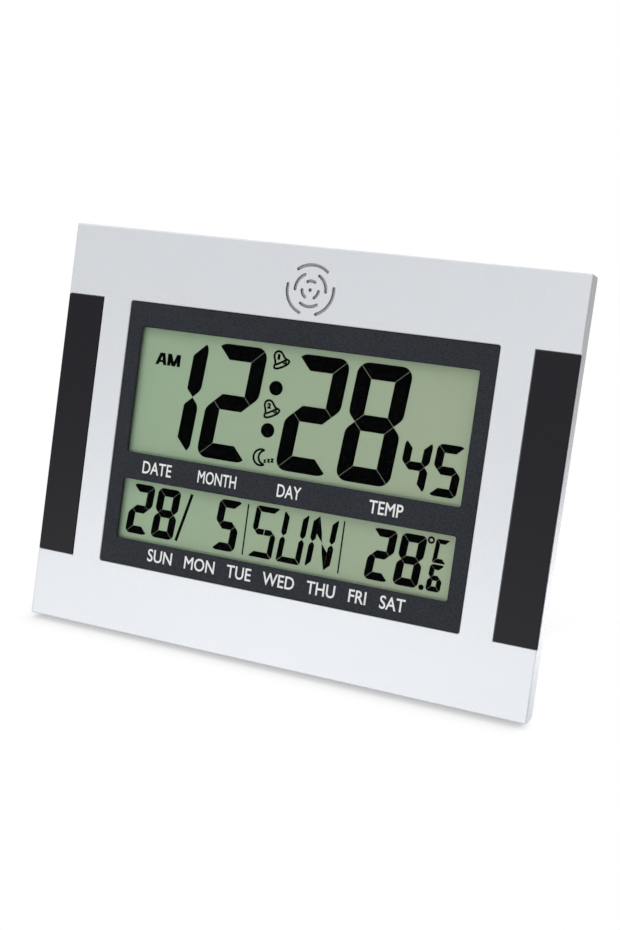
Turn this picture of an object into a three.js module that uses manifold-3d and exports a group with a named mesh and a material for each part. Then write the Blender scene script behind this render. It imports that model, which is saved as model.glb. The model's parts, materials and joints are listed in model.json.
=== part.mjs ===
// Digital alarm clock: a wide silver panel that leans back on a fold-out stand, with a two-window
// display, a round sound grille, and keys, battery bay and wall keyholes on the rear housing.
// Millimetres, +Z up. The face looks along -Y. The clock rests on the lower rear edge of its
// frame and on the foot of its stand.
import * as THREE from 'three';
import { mergeVertices } from 'three/addons/utils/BufferGeometryUtils.js';
import Module from 'manifold-3d';

const wasm = await Module();
wasm.setup();

// General
const LEAN = THREE.MathUtils.degToRad(20);
const FIT = 0.3;
const OVERRUN = 1;
const CORNER_STEPS = 3;
const ROUND_STEPS = 3;
const LEAST_RADIUS = 0.1;
const HOLE_SIDES = 10;
const POST_SIDES = 16;
const TURNED_SIDES = 24;
const COLLAR_SIDES = 32;
const ARC_STEPS = 6;

// Front frame
const PANEL_WIDTH = 260;
const PANEL_HEIGHT = 200;
const PANEL_CORNER = 0.8;
const FRAME_DEPTH = 11.5;
const FACE_WALL = 2.4;
const RIM_WALL = 2.2;
const EDGE_ROUND = 0.7;
const REST_LAND = 2.2;
const STRIP_WIDTH = 20;
const STRIP_THICKNESS = 1.2;
const EDGE_BREAK = 0.35;

// Sound grille and speaker
const GRILLE_DROP = 20.5;
const GRILLE_EYE = 0.9;
const GRILLE_WALL = 1.2;
const CLOTH_THICKNESS = 0.4;
const SLOT_WIDTH = 1.35;
const SLOT_BREAK = 0.2;
const SLOTS_PER_RING = 3;
const GRILLE_RINGS = [
  { radius: 4.2, first: 90, span: 52 },
  { radius: 7.8, first: 30, span: 64 },
  { radius: 11.8, first: 90, span: 78 },
];
const SPEAKER_RADIUS = 13;
const SPEAKER_COLLAR = 1;
const SPEAKER_COLLAR_DEPTH = 4;
const SPEAKER_RIM = 1.3;
const SPEAKER_LIP = 2.6;
const SPEAKER_PLATE = 0.65;
const SPEAKER_CLEARANCE = 1;
const MAGNET_RADIUS = 6.6;
const MAGNET_THICKNESS = 1.6;
const POLE_RADIUS = 3.6;

// Display stack
const WINDOW_WIDTH = 172.4;
const UPPER_WINDOW = 62.2;
const LOWER_WINDOW = 30.1;
const WINDOW_CORNER = 1;
const WINDOW_CHAMFER = 0.5;
const BEZEL_SIDE = 7.55;
const BEZEL_TOP = 12;
const BEZEL_BAR = 13.3;
const BEZEL_BOTTOM = 12.9;
const BEZEL_DROP = 35.5;
const BEZEL_CORNER = 0.8;
const BEZEL_SETBACK = 0.4;
const BEZEL_WEB = 1.4;
const BEZEL_LIP = 3;
const LIP_THICKNESS = 1.8;
const LENS_OVERLAP = 2.5;
const LENS_THICKNESS = 1;
const GLASS_THICKNESS = 1.2;
const CONTACT_LEDGE = 3.4;
const REFLECTOR_THICKNESS = 0.4;
const CLAMP_LIP = 5;
const CLAMP_WALL = 1.2;
const EAR_THICKNESS = 1.8;
const EAR_RADIUS = 4.4;
const EAR_INSET = 12;
const ZEBRA_LENGTH = 150;
const ZEBRA_WIDTH = 2;

// Main board
const BOARD_HEIGHT = 60;
const BOARD_THICKNESS = 1.6;
const BOARD_MARGIN = 1.2;
const BOARD_SCREW_DROP = 4.5;
const CHIP_RADIUS = 9;
const CHIP_HEIGHT = 1.8;
const DOME_STEPS = 3;
const CRYSTAL_OFFSET = 27;
const CRYSTAL_RADIUS = 1;
const CRYSTAL_LENGTH = 6;
const SENSOR_RADIUS = 2.2;
const SENSOR_HEIGHT = 2;
const SENSOR_OFFSET = 27;

// Screws
const SCREW_SIDES = 10;
const SCREW_HEAD = 2.8;
const SCREW_HEAD_HEIGHT = 1.8;
const HEAD_FLAT = 0.7;
const HEAD_SIDE = 0.6;
const SCREW_SHAFT = 1.1;
const SMALL_HEAD = 2.2;
const SMALL_HEAD_HEIGHT = 1.4;
const SMALL_SHAFT = 0.9;
const SCREW_STOP = 0.7;
const BOSS_RADIUS = 3.6;
const BOSS_ROOT = 0.5;
const CASE_SCREW_INSET = 11;
const WELL_RADIUS = 4.8;
const WELL_DEPTH = 2.6;
const WELL_FLOOR = 1.8;

// Rear cover
const FLANGE_THICKNESS = 2;
const FLANGE_SETBACK = 0.3;
const HOUSING_WALL = 2.4;
const HOUSING_DRAFT = 1.2;
const HOUSING_ROUND = 2;
const HOUSING_CORNER = 9;
const HOUSING_STEPS = 6;
const HOUSING_ROOM = 1;
const WALL_SINK = 0.6;
const KEYHOLE_X = 70;
const KEYHOLE_DROP = 24;
const KEYHOLE_ENTRY = 4.5;
const KEYHOLE_SLOT = 2.4;
const KEYHOLE_RISE = 9;
const KEYHOLE_STEPS = 14;
const VENT_COUNT = 5;
const VENT_LENGTH = 18;
const VENT_WIDTH = 1.8;
const VENT_PITCH = 5;
const VENT_DROP = 34;

// Stand
const LEG_WIDTH = 70;
const LEG_TIP_WIDTH = 60;
const LEG_LENGTH = 60;
const LEG_THICKNESS = 5;
const LEG_SKIN = 2;
const LEG_RIB = 2.4;
const LEG_CELLS = 3;
const LEG_TIP_CORNER = 6;
const LEG_SETBACK = 0.2;
const LEG_SIDE_GAP = 0.4;
const FOOT_RUN = 4;
const THUMB_RADIUS = 11;
const THUMB_DEPTH = 3.5;
const STAND_OPEN = THREE.MathUtils.degToRad(90);
const PIN_RADIUS = 1;
const PIN_SEAT = 1.6;
const POCKET_WALL = 1.8;
const STOP_LIP = 4;

// Battery bay
const CELL_RADIUS = 7.25;
const CELL_LENGTH = 50.5;
const CELL_NUB_RADIUS = 2.75;
const CELL_NUB = 1.3;
const CELL_GAP = 0.9;
const BAY_ROOM = 0.5;
const BAY_WALL = 1.5;
const BAY_FLOOR = 1.4;
const BAY_CLEAR = 5;
const BAY_MARGIN = 2;
const PLATE_THICKNESS = 0.5;
const PLATE_HALF = 5.5;
const COIL_LENGTH = 5.2;
const COIL_WIDE = 4.8;
const COIL_NARROW = 3;
const COIL_WIRE = 0.4;
const COIL_TURNS = 3.5;
const COIL_STEPS = 8;
const COIL_SIDES = 5;
const DOOR_PLATE = 1.9;
const DOOR_SETBACK = 0.2;
const TONGUE_REACH = 1.5;
const TONGUE_ROOT = 2.1;
const TONGUE_THICKNESS = 0.9;
const GRIP_COUNT = 5;
const GRIP_PITCH = 2.4;
const GRIP_WIDTH = 1;
const GRIP_DEPTH = 0.5;
const GRIP_LENGTH = 16;

// Keys
const KEY_NAMES = ['mode', 'set', 'up', 'down', 'alarm'];
const KEY_WIDTH = 14;
const KEY_HEIGHT = 7;
const KEY_CORNER = 2.5;
const KEY_CROWN = 0.5;
const KEY_PITCH = 16;
const KEY_LOWER = 14;
const KEY_RECESS = 0.8;
const KEY_RECESS_MARGIN = 5;
const KEY_LIP = 1.4;
const KEY_LIP_THICKNESS = 1;
const KEY_STEM = 1.8;
const KEY_STEM_LENGTH = 1;
const KEY_TRAVEL = 0.8;
const SWITCH_SIZE = 6;
const SWITCH_HEIGHT = 3.4;
const PLUNGER_RADIUS = 1.7;
const PLUNGER_LENGTH = 1;
const KEY_BOARD_WIDTH = 24;
const KEY_BOARD_THICKNESS = 1.6;
const KEY_BOARD_END = 16;
const KEY_SCREW_EDGE = 3.2;
const KEY_POST_RADIUS = 3;
const KEY_SCREW_LENGTH = 5;

// Leads
const LEAD_RADIUS = 0.7;
const LEAD_SIDES = 8;
const LEAD_STEPS = 10;
const SPEAKER_LEAD_X = 4;
const LEAD_ROOM = 3;
const LEAD_TAIL = 5;
const RIBBON_WIDTH = 8;
const RIBBON_THICKNESS = 0.6;
const RIBBON_RUN = 32;
const RIBBON_TAIL = 8;

// Places on the face, from the driving dimensions
const bezelWidth = WINDOW_WIDTH + 2 * BEZEL_SIDE;
const bezelHeight = BEZEL_TOP + UPPER_WINDOW + BEZEL_BAR + LOWER_WINDOW + BEZEL_BOTTOM;
const bezelTop = PANEL_HEIGHT / 2 - BEZEL_DROP;
const bezelBottom = bezelTop - bezelHeight;
const bezelMid = (bezelTop + bezelBottom) / 2;
const upperTop = bezelTop - BEZEL_TOP;
const upperBottom = upperTop - UPPER_WINDOW;
const lowerTop = upperBottom - BEZEL_BAR;
const lowerBottom = lowerTop - LOWER_WINDOW;
const lensWidth = WINDOW_WIDTH + 2 * LENS_OVERLAP;
const lensTop = upperTop + LENS_OVERLAP;
const lensBottom = lowerBottom - LENS_OVERLAP;
const clampHalf = bezelWidth / 2 + BEZEL_LIP;
const clampTop = bezelTop + BEZEL_LIP;
const clampBottom = bezelBottom - BEZEL_LIP;
const earX = clampHalf + FIT + BOSS_RADIUS;
const earHigh = clampTop - EAR_INSET;
const earLow = clampBottom + EAR_INSET;
const grilleY = PANEL_HEIGHT / 2 - GRILLE_DROP;
const collarRadius = SPEAKER_RADIUS + FIT + SPEAKER_COLLAR;
const caseScrewX = PANEL_WIDTH / 2 - CASE_SCREW_INSET;
const caseScrewY = PANEL_HEIGHT / 2 - CASE_SCREW_INSET;

// Depths behind the face, as negative z
const bezelFace = -BEZEL_SETBACK;
const webBack = bezelFace - BEZEL_WEB;
const lipFront = -FACE_WALL - FIT;
const lipBack = lipFront - LIP_THICKNESS;
const lensFront = webBack - FIT;
const lensBack = lensFront - LENS_THICKNESS;
const glassFront = lensBack - FIT;
const glassMiddle = glassFront - GLASS_THICKNESS;
const glassBack = glassMiddle - GLASS_THICKNESS;
const reflectorFront = glassBack - FIT;
const reflectorBack = reflectorFront - REFLECTOR_THICKNESS;
const clampFront = lipBack - FIT;
const clampSeat = reflectorBack - FIT;
const clampBack = clampSeat - CLAMP_WALL;
const earFront = clampBack + EAR_THICKNESS;
const boardFront = clampBack - FIT;
const boardBack = boardFront - BOARD_THICKNESS;
const flangeBack = -FRAME_DEPTH + FLANGE_SETBACK;
const flangeFront = flangeBack + FLANGE_THICKNESS;
const wellFront = flangeFront + WELL_DEPTH;
const wellSeat = wellFront - WELL_FLOOR;
const bossTip = -FACE_WALL - SCREW_STOP;
const clothFront = -GRILLE_WALL - FIT;
const clothBack = clothFront - CLOTH_THICKNESS;
const speakerFront = clothBack - FIT;
const speakerBack = flangeFront + SPEAKER_CLEARANCE;
const bayFront = clampBack - FIT;
const bayFloor = bayFront - BAY_FLOOR;
const cellZ = bayFloor - FIT - CELL_RADIUS;
const doorInner = cellZ - CELL_RADIUS - FIT;
const doorOuter = doorInner - DOOR_PLATE;
const backFace = doorOuter - DOOR_SETBACK;
const wallInner = backFace + HOUSING_WALL;
const tongueBack = wallInner + FIT;
const tongueFront = tongueBack + TONGUE_THICKNESS;
const railTop = tongueFront + FIT;

// The table top in the clock's own leaning frame: its height at a depth z
const restZ = -FRAME_DEPTH + REST_LAND * Math.cos(LEAN);
const tableAt = (z) => -PANEL_HEIGHT / 2 + (restZ - z) * Math.tan(LEAN);

// Stand, bay and key places on the rear housing
const legHalf = LEG_THICKNESS / 2;
const hingeZ = backFace + LEG_SETBACK + legHalf;
const footAngle = LEAN + STAND_OPEN - Math.PI / 2;
const footStart = new THREE.Vector3(0, LEG_LENGTH - FOOT_RUN, -legHalf);
footStart.applyEuler(new THREE.Euler(-STAND_OPEN, 0, 0));
const hingeY = tableAt(hingeZ + footStart.z) - footStart.y;
const legDrop = Math.max(0, (hingeZ - backFace) * Math.tan(STAND_OPEN - Math.PI / 2));
const pocketHalf = LEG_WIDTH / 2 + LEG_SIDE_GAP;
const pocketOuter = pocketHalf + PIN_SEAT + POCKET_WALL;
const pocketFloor = hingeZ + legHalf + FIT;
const pocketTop = hingeY + LEG_LENGTH + FIT;
const pocketBottom = hingeY - legHalf / Math.sin(STAND_OPEN) - legDrop - FIT;
const cellPitch = 2 * CELL_RADIUS + CELL_GAP;
const bayHalf = cellPitch / 2 + CELL_RADIUS + BAY_ROOM;
const bayOuter = bayHalf + BAY_WALL;
const tongueHalf = bayOuter + TONGUE_REACH;
const bayLength = 2 * (FIT + PLATE_THICKNESS) + 3 * FIT + CELL_LENGTH + COIL_LENGTH;
const housingHalf = Math.max(
  earX + EAR_RADIUS + HOUSING_ROOM + HOUSING_WALL,
  pocketOuter + BAY_MARGIN + BAY_WALL + bayLength + FIT + HOUSING_WALL + HOUSING_DRAFT,
);
const housingTop = clampTop + HOUSING_ROOM + LEAD_ROOM + HOUSING_WALL;
const housingBottom = Math.min(
  pocketBottom - STOP_LIP - HOUSING_DRAFT,
  clampBottom - HOUSING_ROOM - HOUSING_WALL,
);
const housingMid = (housingTop + housingBottom) / 2;
const bayEnd = housingHalf - HOUSING_DRAFT - HOUSING_WALL - FIT;
const bayStart = bayEnd - bayLength;
const bayY = earLow + SCREW_HEAD + BAY_CLEAR + bayOuter;
const keyX = -(pocketOuter + housingHalf - HOUSING_WALL) / 2;
const keyMid = housingMid - KEY_LOWER;
const keyholeY = housingTop - KEYHOLE_DROP;
const keySpan = KEY_PITCH * (KEY_NAMES.length - 1);
const keyPostY = keySpan / 2 + KEY_BOARD_END - KEY_SCREW_EDGE;
const keyLipBack = wallInner + FIT;
const keyLipFront = keyLipBack + KEY_LIP_THICKNESS;
const plungerBack = keyLipFront + KEY_STEM_LENGTH + KEY_TRAVEL + FIT;
const switchBack = plungerBack + PLUNGER_LENGTH;
const keyBoardBack = switchBack + SWITCH_HEIGHT + FIT;
const keyBoardFront = keyBoardBack + KEY_BOARD_THICKNESS;
const boardHalf = clampHalf - BOARD_MARGIN;
const boardTop = clampTop - BEZEL_LIP;
const boardBottom = boardTop - BOARD_HEIGHT;
const boardMid = (boardTop + boardBottom) / 2;
const boardScrewX = (lensWidth / 2 + clampHalf) / 2;

// Finishes
const finish = (color, roughness, metalness = 0) =>
  new THREE.MeshStandardMaterial({ color, roughness, metalness });
const SILVER = finish(0xcfd4d7, 0.42, 0.3);
const BLACK = finish(0x1d1d1f, 0.35);
const CHARCOAL = finish(0x2f3238, 0.6);
const CLEAR = new THREE.MeshStandardMaterial({
  color: 0xf4f7f5, roughness: 0.05, transparent: true, opacity: 0.2,
});
const DISPLAY = finish(0xa3b796, 0.35);
const REFLECTOR = finish(0xc9cfc4, 0.3, 0.5);
const DARK_ABS = finish(0x3a3c40, 0.65);
const INNER_ABS = finish(0xd8d8d2, 0.7);
const RUBBER = finish(0xb9b4b0, 0.8);
const BOARD = finish(0x2c6a3f, 0.5);
const POTTING = finish(0x141414, 0.45);
const STEEL = finish(0xb8bbbf, 0.35, 0.9);
const CERAMIC = finish(0x2a5fa8, 0.5);
const MYLAR = finish(0x26282b, 0.4);
const CLOTH = finish(0xc4c7c9, 0.9);
const FERRITE = finish(0x4a4a4c, 0.6);
const CELL = finish(0x59636f, 0.35, 0.6);
const KEY_RUBBER = finish(0x55585d, 0.7);
const RED_WIRE = finish(0xa8231f, 0.5);
const BLACK_WIRE = finish(0x1b1b1b, 0.5);
const RIBBON = finish(0xbfc3c8, 0.5);

// Turns a closed geometry into a solid that can be joined and cut.
function solid(geometry) {
  const bare = geometry.clone();
  bare.deleteAttribute('normal');
  bare.deleteAttribute('uv');
  const merged = mergeVertices(bare);
  const corners = merged.index.array;
  const triangles = [];
  for (let at = 0; at < corners.length; at += 3) {
    const [a, b, c] = corners.slice(at, at + 3);
    if (a !== b && b !== c && c !== a) triangles.push(a, b, c);
  }
  return new wasm.Manifold(new wasm.Mesh({
    numProp: 3,
    vertProperties: new Float32Array(merged.attributes.position.array),
    triVerts: new Uint32Array(triangles),
  }));
}

// Turns a finished solid back into a geometry.
function geometryOf(body) {
  const mesh = body.getMesh();
  const geometry = new THREE.BufferGeometry();
  const positions = new Float32Array(mesh.vertProperties);
  geometry.setAttribute('position', new THREE.BufferAttribute(positions, 3));
  geometry.setIndex(new THREE.BufferAttribute(new Uint32Array(mesh.triVerts), 1));
  return geometry;
}

function cutAll(body, tools) {
  return tools.reduce((rest, tool) => rest.subtract(tool), body);
}

function joinAll(body, pieces) {
  return pieces.reduce((whole, piece) => whole.add(piece), body);
}

// Points along an arc with both of its ends, between angles in radians.
function arcPoints(x, y, radius, from, to, steps = ARC_STEPS) {
  return Array.from({ length: steps + 1 }, (_, step) => {
    const angle = from + ((to - from) * step) / steps;
    return new THREE.Vector2(x + radius * Math.cos(angle), y + radius * Math.sin(angle));
  });
}

// Points of a rectangle with rounded corners, counter-clockwise. A radius of 0 leaves them square.
function roundedRect(width, height, radius, x = 0, y = 0, steps = CORNER_STEPS) {
  const corners = [[1, 1], [-1, 1], [-1, -1], [1, -1]];
  return corners.flatMap(([side, up], quarter) => {
    const centre = [x + side * (width / 2 - radius), y + up * (height / 2 - radius)];
    const from = (quarter * Math.PI) / 2;
    const corner = arcPoints(...centre, radius, from, from + Math.PI / 2, steps);
    return radius > 0 ? corner : corner.slice(0, 1);
  });
}

// A closed skin through outlines with equal point counts, listed from back to front.
function loft(sections) {
  const count = sections[0].outline.length;
  const last = sections.length - 1;
  const positions = sections.flatMap(({ outline, z }) => outline.flatMap((p) => [p.x, p.y, z]));
  const index = [];
  for (let level = 0; level < last; level += 1) {
    for (let i = 0; i < count; i += 1) {
      const a = level * count + i;
      const b = level * count + ((i + 1) % count);
      index.push(a, b, b + count, a, b + count, a + count);
    }
  }
  THREE.ShapeUtils.triangulateShape(sections[0].outline, []).forEach(([a, b, c]) => index.push(a, c, b));
  const lift = last * count;
  THREE.ShapeUtils.triangulateShape(sections[last].outline, []).forEach(([a, b, c]) =>
    index.push(lift + a, lift + b, lift + c));
  const geometry = new THREE.BufferGeometry();
  geometry.setAttribute('position', new THREE.Float32BufferAttribute(positions, 3));
  geometry.setIndex(index);
  return geometry;
}

// A straight-sided slab with the outline of a rounded rectangle.
function slab({ width, height, radius, x = 0, y = 0, back, front }) {
  const outline = roundedRect(width, height, radius, x, y);
  return loft([{ outline, z: back }, { outline, z: front }]);
}

// A box between two corners.
function block([x0, x1], [y0, y1], [z0, z1]) {
  const geometry = new THREE.BoxGeometry(x1 - x0, y1 - y0, z1 - z0);
  return geometry.translate((x0 + x1) / 2, (y0 + y1) / 2, (z0 + z1) / 2);
}

// A round post or hole along z.
function post(radius, back, front, x, y, sides = POST_SIDES) {
  const geometry = new THREE.CylinderGeometry(radius, radius, front - back, sides);
  return geometry.rotateX(Math.PI / 2).translate(x, y, (back + front) / 2);
}

// An outline pushed along +z.
function extrude(shape, depth, curveSegments = ARC_STEPS) {
  return new THREE.ExtrudeGeometry(shape, { depth, bevelEnabled: false, curveSegments });
}

// Turns an outline drawn in y and z, pushed along +z, so that it is pushed along +x.
const SIDE_ON = new THREE.Matrix4().makeBasis(
  new THREE.Vector3(0, 1, 0),
  new THREE.Vector3(0, 0, 1),
  new THREE.Vector3(1, 0, 0),
);

// A round rod along x, centred on the origin.
function rod(radius, length) {
  return new THREE.CylinderGeometry(radius, radius, length, HOLE_SIDES).rotateZ(Math.PI / 2);
}

// A turned piece with its axis along z: pairs are radius and z, starting and ending on the axis.
function turned(pairs, sides) {
  const profile = pairs.map(([radius, z]) => new THREE.Vector2(radius, z));
  return new THREE.LatheGeometry(profile, sides).rotateX(Math.PI / 2);
}

// A dome on z = 0 that bulges to -z.
function dome(radius, height, sides) {
  const arc = Array.from({ length: DOME_STEPS + 1 }, (_, step) => {
    const angle = (step / DOME_STEPS) * (Math.PI / 2);
    return [radius * Math.sin(angle), -height * Math.cos(angle)];
  });
  return turned([...arc, [0, 0]], sides);
}

// Insets and drops of a rounded edge, from its side to its flat face.
function edgeLevels(radius) {
  return Array.from({ length: ROUND_STEPS + 1 }, (_, step) => {
    const angle = (step / ROUND_STEPS) * (Math.PI / 2);
    return { inset: radius * (1 - Math.cos(angle)), drop: radius * (1 - Math.sin(angle)) };
  });
}

const clock = new THREE.Group();
clock.rotation.x = Math.PI / 2 - LEAN;

function place(name, geometry, material, parent = clock) {
  const mesh = new THREE.Mesh(geometry, material);
  mesh.name = name;
  parent.add(mesh);
  return mesh;
}

// A pan-head screw whose head rests at z = 0 and whose shaft points to +z.
function screw(headRadius, headHeight, shaftRadius, length) {
  const point = shaftRadius;
  return turned([
    [0, -headHeight],
    [headRadius * HEAD_FLAT, -headHeight],
    [headRadius, -headHeight * HEAD_SIDE],
    [headRadius, 0],
    [shaftRadius, 0],
    [shaftRadius, length - point],
    [0, length],
  ], SCREW_SIDES);
}

// A straight-walled cut from its floor up to a surface, where its rim is broken by a chamfer.
function rimmedCut(outlineAt, floor, surface, chamfer) {
  return solid(loft([
    { outline: outlineAt(0), z: floor },
    { outline: outlineAt(0), z: surface - chamfer },
    { outline: outlineAt(chamfer + OVERRUN), z: surface + OVERRUN },
  ]));
}

// Panel block with a rounded front edge, from the rim's back to the face.
function panelBlank() {
  const at = (inset) => roundedRect(
    PANEL_WIDTH - 2 * inset,
    PANEL_HEIGHT - 2 * inset,
    Math.max(PANEL_CORNER - inset, LEAST_RADIUS),
  );
  const edge = edgeLevels(EDGE_ROUND).map(({ inset, drop }) => ({ outline: at(inset), z: -drop }));
  return solid(loft([{ outline: at(0), z: -FRAME_DEPTH }, ...edge]));
}

// Outline of a side strip, which runs off the panel's edge, grown by a margin.
function stripOutline(side, margin) {
  const width = STRIP_WIDTH + margin + OVERRUN;
  const centre = PANEL_WIDTH / 2 + OVERRUN - width / 2;
  return roundedRect(width, bezelHeight + 2 * margin, 0, side * centre, bezelMid);
}

// Outline of a curved slot with round ends, centred on an angle in degrees about the grille's eye.
function slotOutline(radius, centre, span, half) {
  const from = THREE.MathUtils.degToRad(centre - span / 2);
  const to = THREE.MathUtils.degToRad(centre + span / 2);
  const cap = (angle, start) => {
    const centre = [radius * Math.cos(angle), grilleY + radius * Math.sin(angle)];
    return arcPoints(...centre, half, start, start + Math.PI).slice(1, -1);
  };
  return [
    ...arcPoints(0, grilleY, radius + half, from, to),
    ...cap(to, to),
    ...arcPoints(0, grilleY, radius - half, to, from),
    ...cap(from, from + Math.PI),
  ];
}

function grilleCuts() {
  const slots = GRILLE_RINGS.flatMap(({ radius, first, span }) =>
    Array.from({ length: SLOTS_PER_RING }, (_, copy) => {
      const centre = first + (copy * 360) / SLOTS_PER_RING;
      const at = (grow) => slotOutline(radius, centre, span, SLOT_WIDTH / 2 + grow);
      return rimmedCut(at, -FACE_WALL - OVERRUN, 0, SLOT_BREAK);
    }));
  const eye = solid(post(GRILLE_EYE, -FACE_WALL - OVERRUN, OVERRUN, 0, grilleY, HOLE_SIDES));
  return [...slots, eye];
}

const caseScrewPlaces = [-1, 1].flatMap((side) =>
  [caseScrewY, 0, -caseScrewY].map((y) => [side * caseScrewX, y]));
const clampScrewPlaces = [-1, 1].flatMap((side) =>
  [earHigh, earLow].map((y) => [side * earX, y]));
const boardScrewPlaces = [-1, 1].flatMap((side) =>
  [boardTop - BOARD_SCREW_DROP, boardBottom + BOARD_SCREW_DROP].map((y) => [side * boardScrewX, y]));
const keyPostPlaces = [keyPostY, -keyPostY].map((rise) => [keyX, keyMid + rise]);
const keyPlaces = KEY_NAMES.map((_, row) => [keyX, keyMid + keySpan / 2 - row * KEY_PITCH]);

// Everything below the table top, as a cutting block for the frame's lower rear edge.
function belowTable() {
  const reach = PANEL_WIDTH + PANEL_HEIGHT;
  const geometry = new THREE.BoxGeometry(reach, reach, reach);
  return solid(geometry.translate(0, -reach / 2, 0).rotateX(LEAN).translate(0, -PANEL_HEIGHT / 2, restZ));
}

function frontFrame() {
  const hollow = slab({
    width: PANEL_WIDTH - 2 * RIM_WALL,
    height: PANEL_HEIGHT - 2 * RIM_WALL,
    radius: 0,
    back: -FRAME_DEPTH - OVERRUN,
    front: -FACE_WALL,
  });
  const openingAt = (grow) => roundedRect(
    bezelWidth + 2 * (FIT + grow),
    bezelHeight + 2 * (FIT + grow),
    BEZEL_CORNER + FIT + grow,
    0,
    bezelMid,
  );
  const opening = rimmedCut(openingAt, -FACE_WALL - OVERRUN, 0, EDGE_BREAK);
  const recesses = [-1, 1].map((side) =>
    rimmedCut((grow) => stripOutline(side, FIT + grow), -STRIP_THICKNESS - FIT, 0, EDGE_BREAK));
  const caseBosses = caseScrewPlaces.map(([x, y]) =>
    solid(post(BOSS_RADIUS, wellFront + FIT, -FACE_WALL + BOSS_ROOT, x, y)));
  const clampBosses = clampScrewPlaces.map(([x, y]) =>
    solid(post(BOSS_RADIUS, earFront + FIT, -FACE_WALL + BOSS_ROOT, x, y)));
  const pilots = [...caseScrewPlaces, ...clampScrewPlaces].map(([x, y]) =>
    solid(post(SCREW_SHAFT + FIT, -FRAME_DEPTH, bossTip + FIT, x, y, HOLE_SIDES)));
  const collarBack = -FACE_WALL - SPEAKER_COLLAR_DEPTH;
  const collar = solid(post(collarRadius, collarBack, -FACE_WALL + BOSS_ROOT, 0, grilleY, COLLAR_SIDES));
  const speakerBore = post(SPEAKER_RADIUS + FIT, collarBack - OVERRUN, -GRILLE_WALL, 0, grilleY, COLLAR_SIDES);
  const shell = cutAll(panelBlank(), [solid(hollow), opening]);
  const fitted = joinAll(shell, [...caseBosses, ...clampBosses, collar]);
  return geometryOf(cutAll(fitted, [
    ...recesses,
    ...pilots,
    solid(speakerBore),
    ...grilleCuts(),
    belowTable(),
  ]));
}

function sideStrip(side) {
  const outline = stripOutline(side, 0);
  const bar = loft([{ outline, z: -STRIP_THICKNESS }, { outline, z: OVERRUN }]);
  return geometryOf(panelBlank().intersect(solid(bar)));
}

// Room that the speaker's collar needs in what lies behind the face.
function collarRoom() {
  return solid(post(collarRadius + FIT, backFace, -FACE_WALL, 0, grilleY, COLLAR_SIDES));
}

// A display window with its front edges broken by a chamfer.
function windowCut(top, height) {
  const at = (grow) => roundedRect(
    WINDOW_WIDTH + 2 * grow,
    height + 2 * grow,
    WINDOW_CORNER + grow,
    0,
    top - height / 2,
  );
  return rimmedCut(at, webBack - OVERRUN, bezelFace, WINDOW_CHAMFER);
}

function lensSlab(grow, back, front, topTrim = 0) {
  const top = lensTop - topTrim;
  return slab({
    width: lensWidth + 2 * grow,
    height: top - lensBottom + 2 * grow,
    radius: 0,
    y: (top + lensBottom) / 2,
    back,
    front,
  });
}

function clampOutline(back, front) {
  return slab({
    width: 2 * clampHalf,
    height: clampTop - clampBottom,
    radius: BEZEL_CORNER,
    y: bezelMid,
    back,
    front,
  });
}

function displayBezel() {
  const plug = slab({
    width: bezelWidth,
    height: bezelHeight,
    radius: BEZEL_CORNER,
    y: bezelMid,
    back: lipBack,
    front: bezelFace,
  });
  const blank = solid(plug).add(solid(clampOutline(lipBack, lipFront)));
  return geometryOf(cutAll(blank, [
    windowCut(upperTop, UPPER_WINDOW),
    windowCut(lowerTop, LOWER_WINDOW),
    solid(lensSlab(FIT, lipBack - OVERRUN, webBack)),
    collarRoom(),
  ]));
}

// Two bonded sheets: the front one overhangs the rear one at the top, where its contacts lie.
function lcdGlass() {
  const frontSheet = solid(lensSlab(0, glassMiddle, glassFront));
  const rearSheet = solid(lensSlab(0, glassBack, glassMiddle + GLASS_THICKNESS / 2, CONTACT_LEDGE));
  return geometryOf(frontSheet.add(rearSheet));
}

const zebraY = lensTop - CONTACT_LEDGE / 2;

function displayClamp() {
  const ears = clampScrewPlaces.map(([x, y]) =>
    solid(post(EAR_RADIUS, clampBack, earFront, x, y))
      .add(solid(block(
        [x, Math.sign(x) * (clampHalf - OVERRUN)].sort((a, b) => a - b),
        [y - EAR_RADIUS, y + EAR_RADIUS],
        [clampBack, earFront],
      ))));
  const opening = slab({
    width: lensWidth - 2 * CLAMP_LIP,
    height: lensTop - lensBottom - 2 * CLAMP_LIP,
    radius: WINDOW_CORNER,
    y: (lensTop + lensBottom) / 2,
    back: clampBack - OVERRUN,
    front: clampFront,
  });
  const zebraSlot = block(
    [-ZEBRA_LENGTH / 2 - FIT, ZEBRA_LENGTH / 2 + FIT],
    [zebraY - ZEBRA_WIDTH / 2 - FIT, zebraY + ZEBRA_WIDTH / 2 + FIT],
    [clampBack - OVERRUN, clampFront],
  );
  const earHoles = clampScrewPlaces.map(([x, y]) =>
    solid(post(SCREW_SHAFT + FIT, clampBack - OVERRUN, earFront + OVERRUN, x, y, HOLE_SIDES)));
  const boardPilots = boardScrewPlaces.map(([x, y]) =>
    solid(post(SMALL_SHAFT + FIT, clampBack - OVERRUN, clampFront - SCREW_STOP, x, y, HOLE_SIDES)));
  return geometryOf(cutAll(joinAll(solid(clampOutline(clampBack, clampFront)), ears), [
    solid(lensSlab(FIT, clampSeat, clampFront + OVERRUN)),
    solid(opening),
    solid(zebraSlot),
    collarRoom(),
    ...earHoles,
    ...boardPilots,
  ]));
}

function mainBoard() {
  const plate = solid(block([-boardHalf, boardHalf], [boardBottom, boardTop], [boardBack, boardFront]));
  const holes = boardScrewPlaces.map(([x, y]) =>
    solid(post(SMALL_SHAFT + FIT, boardBack - OVERRUN, boardFront + OVERRUN, x, y, HOLE_SIDES)));
  return geometryOf(cutAll(plate, [...holes, collarRoom()]));
}

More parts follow.
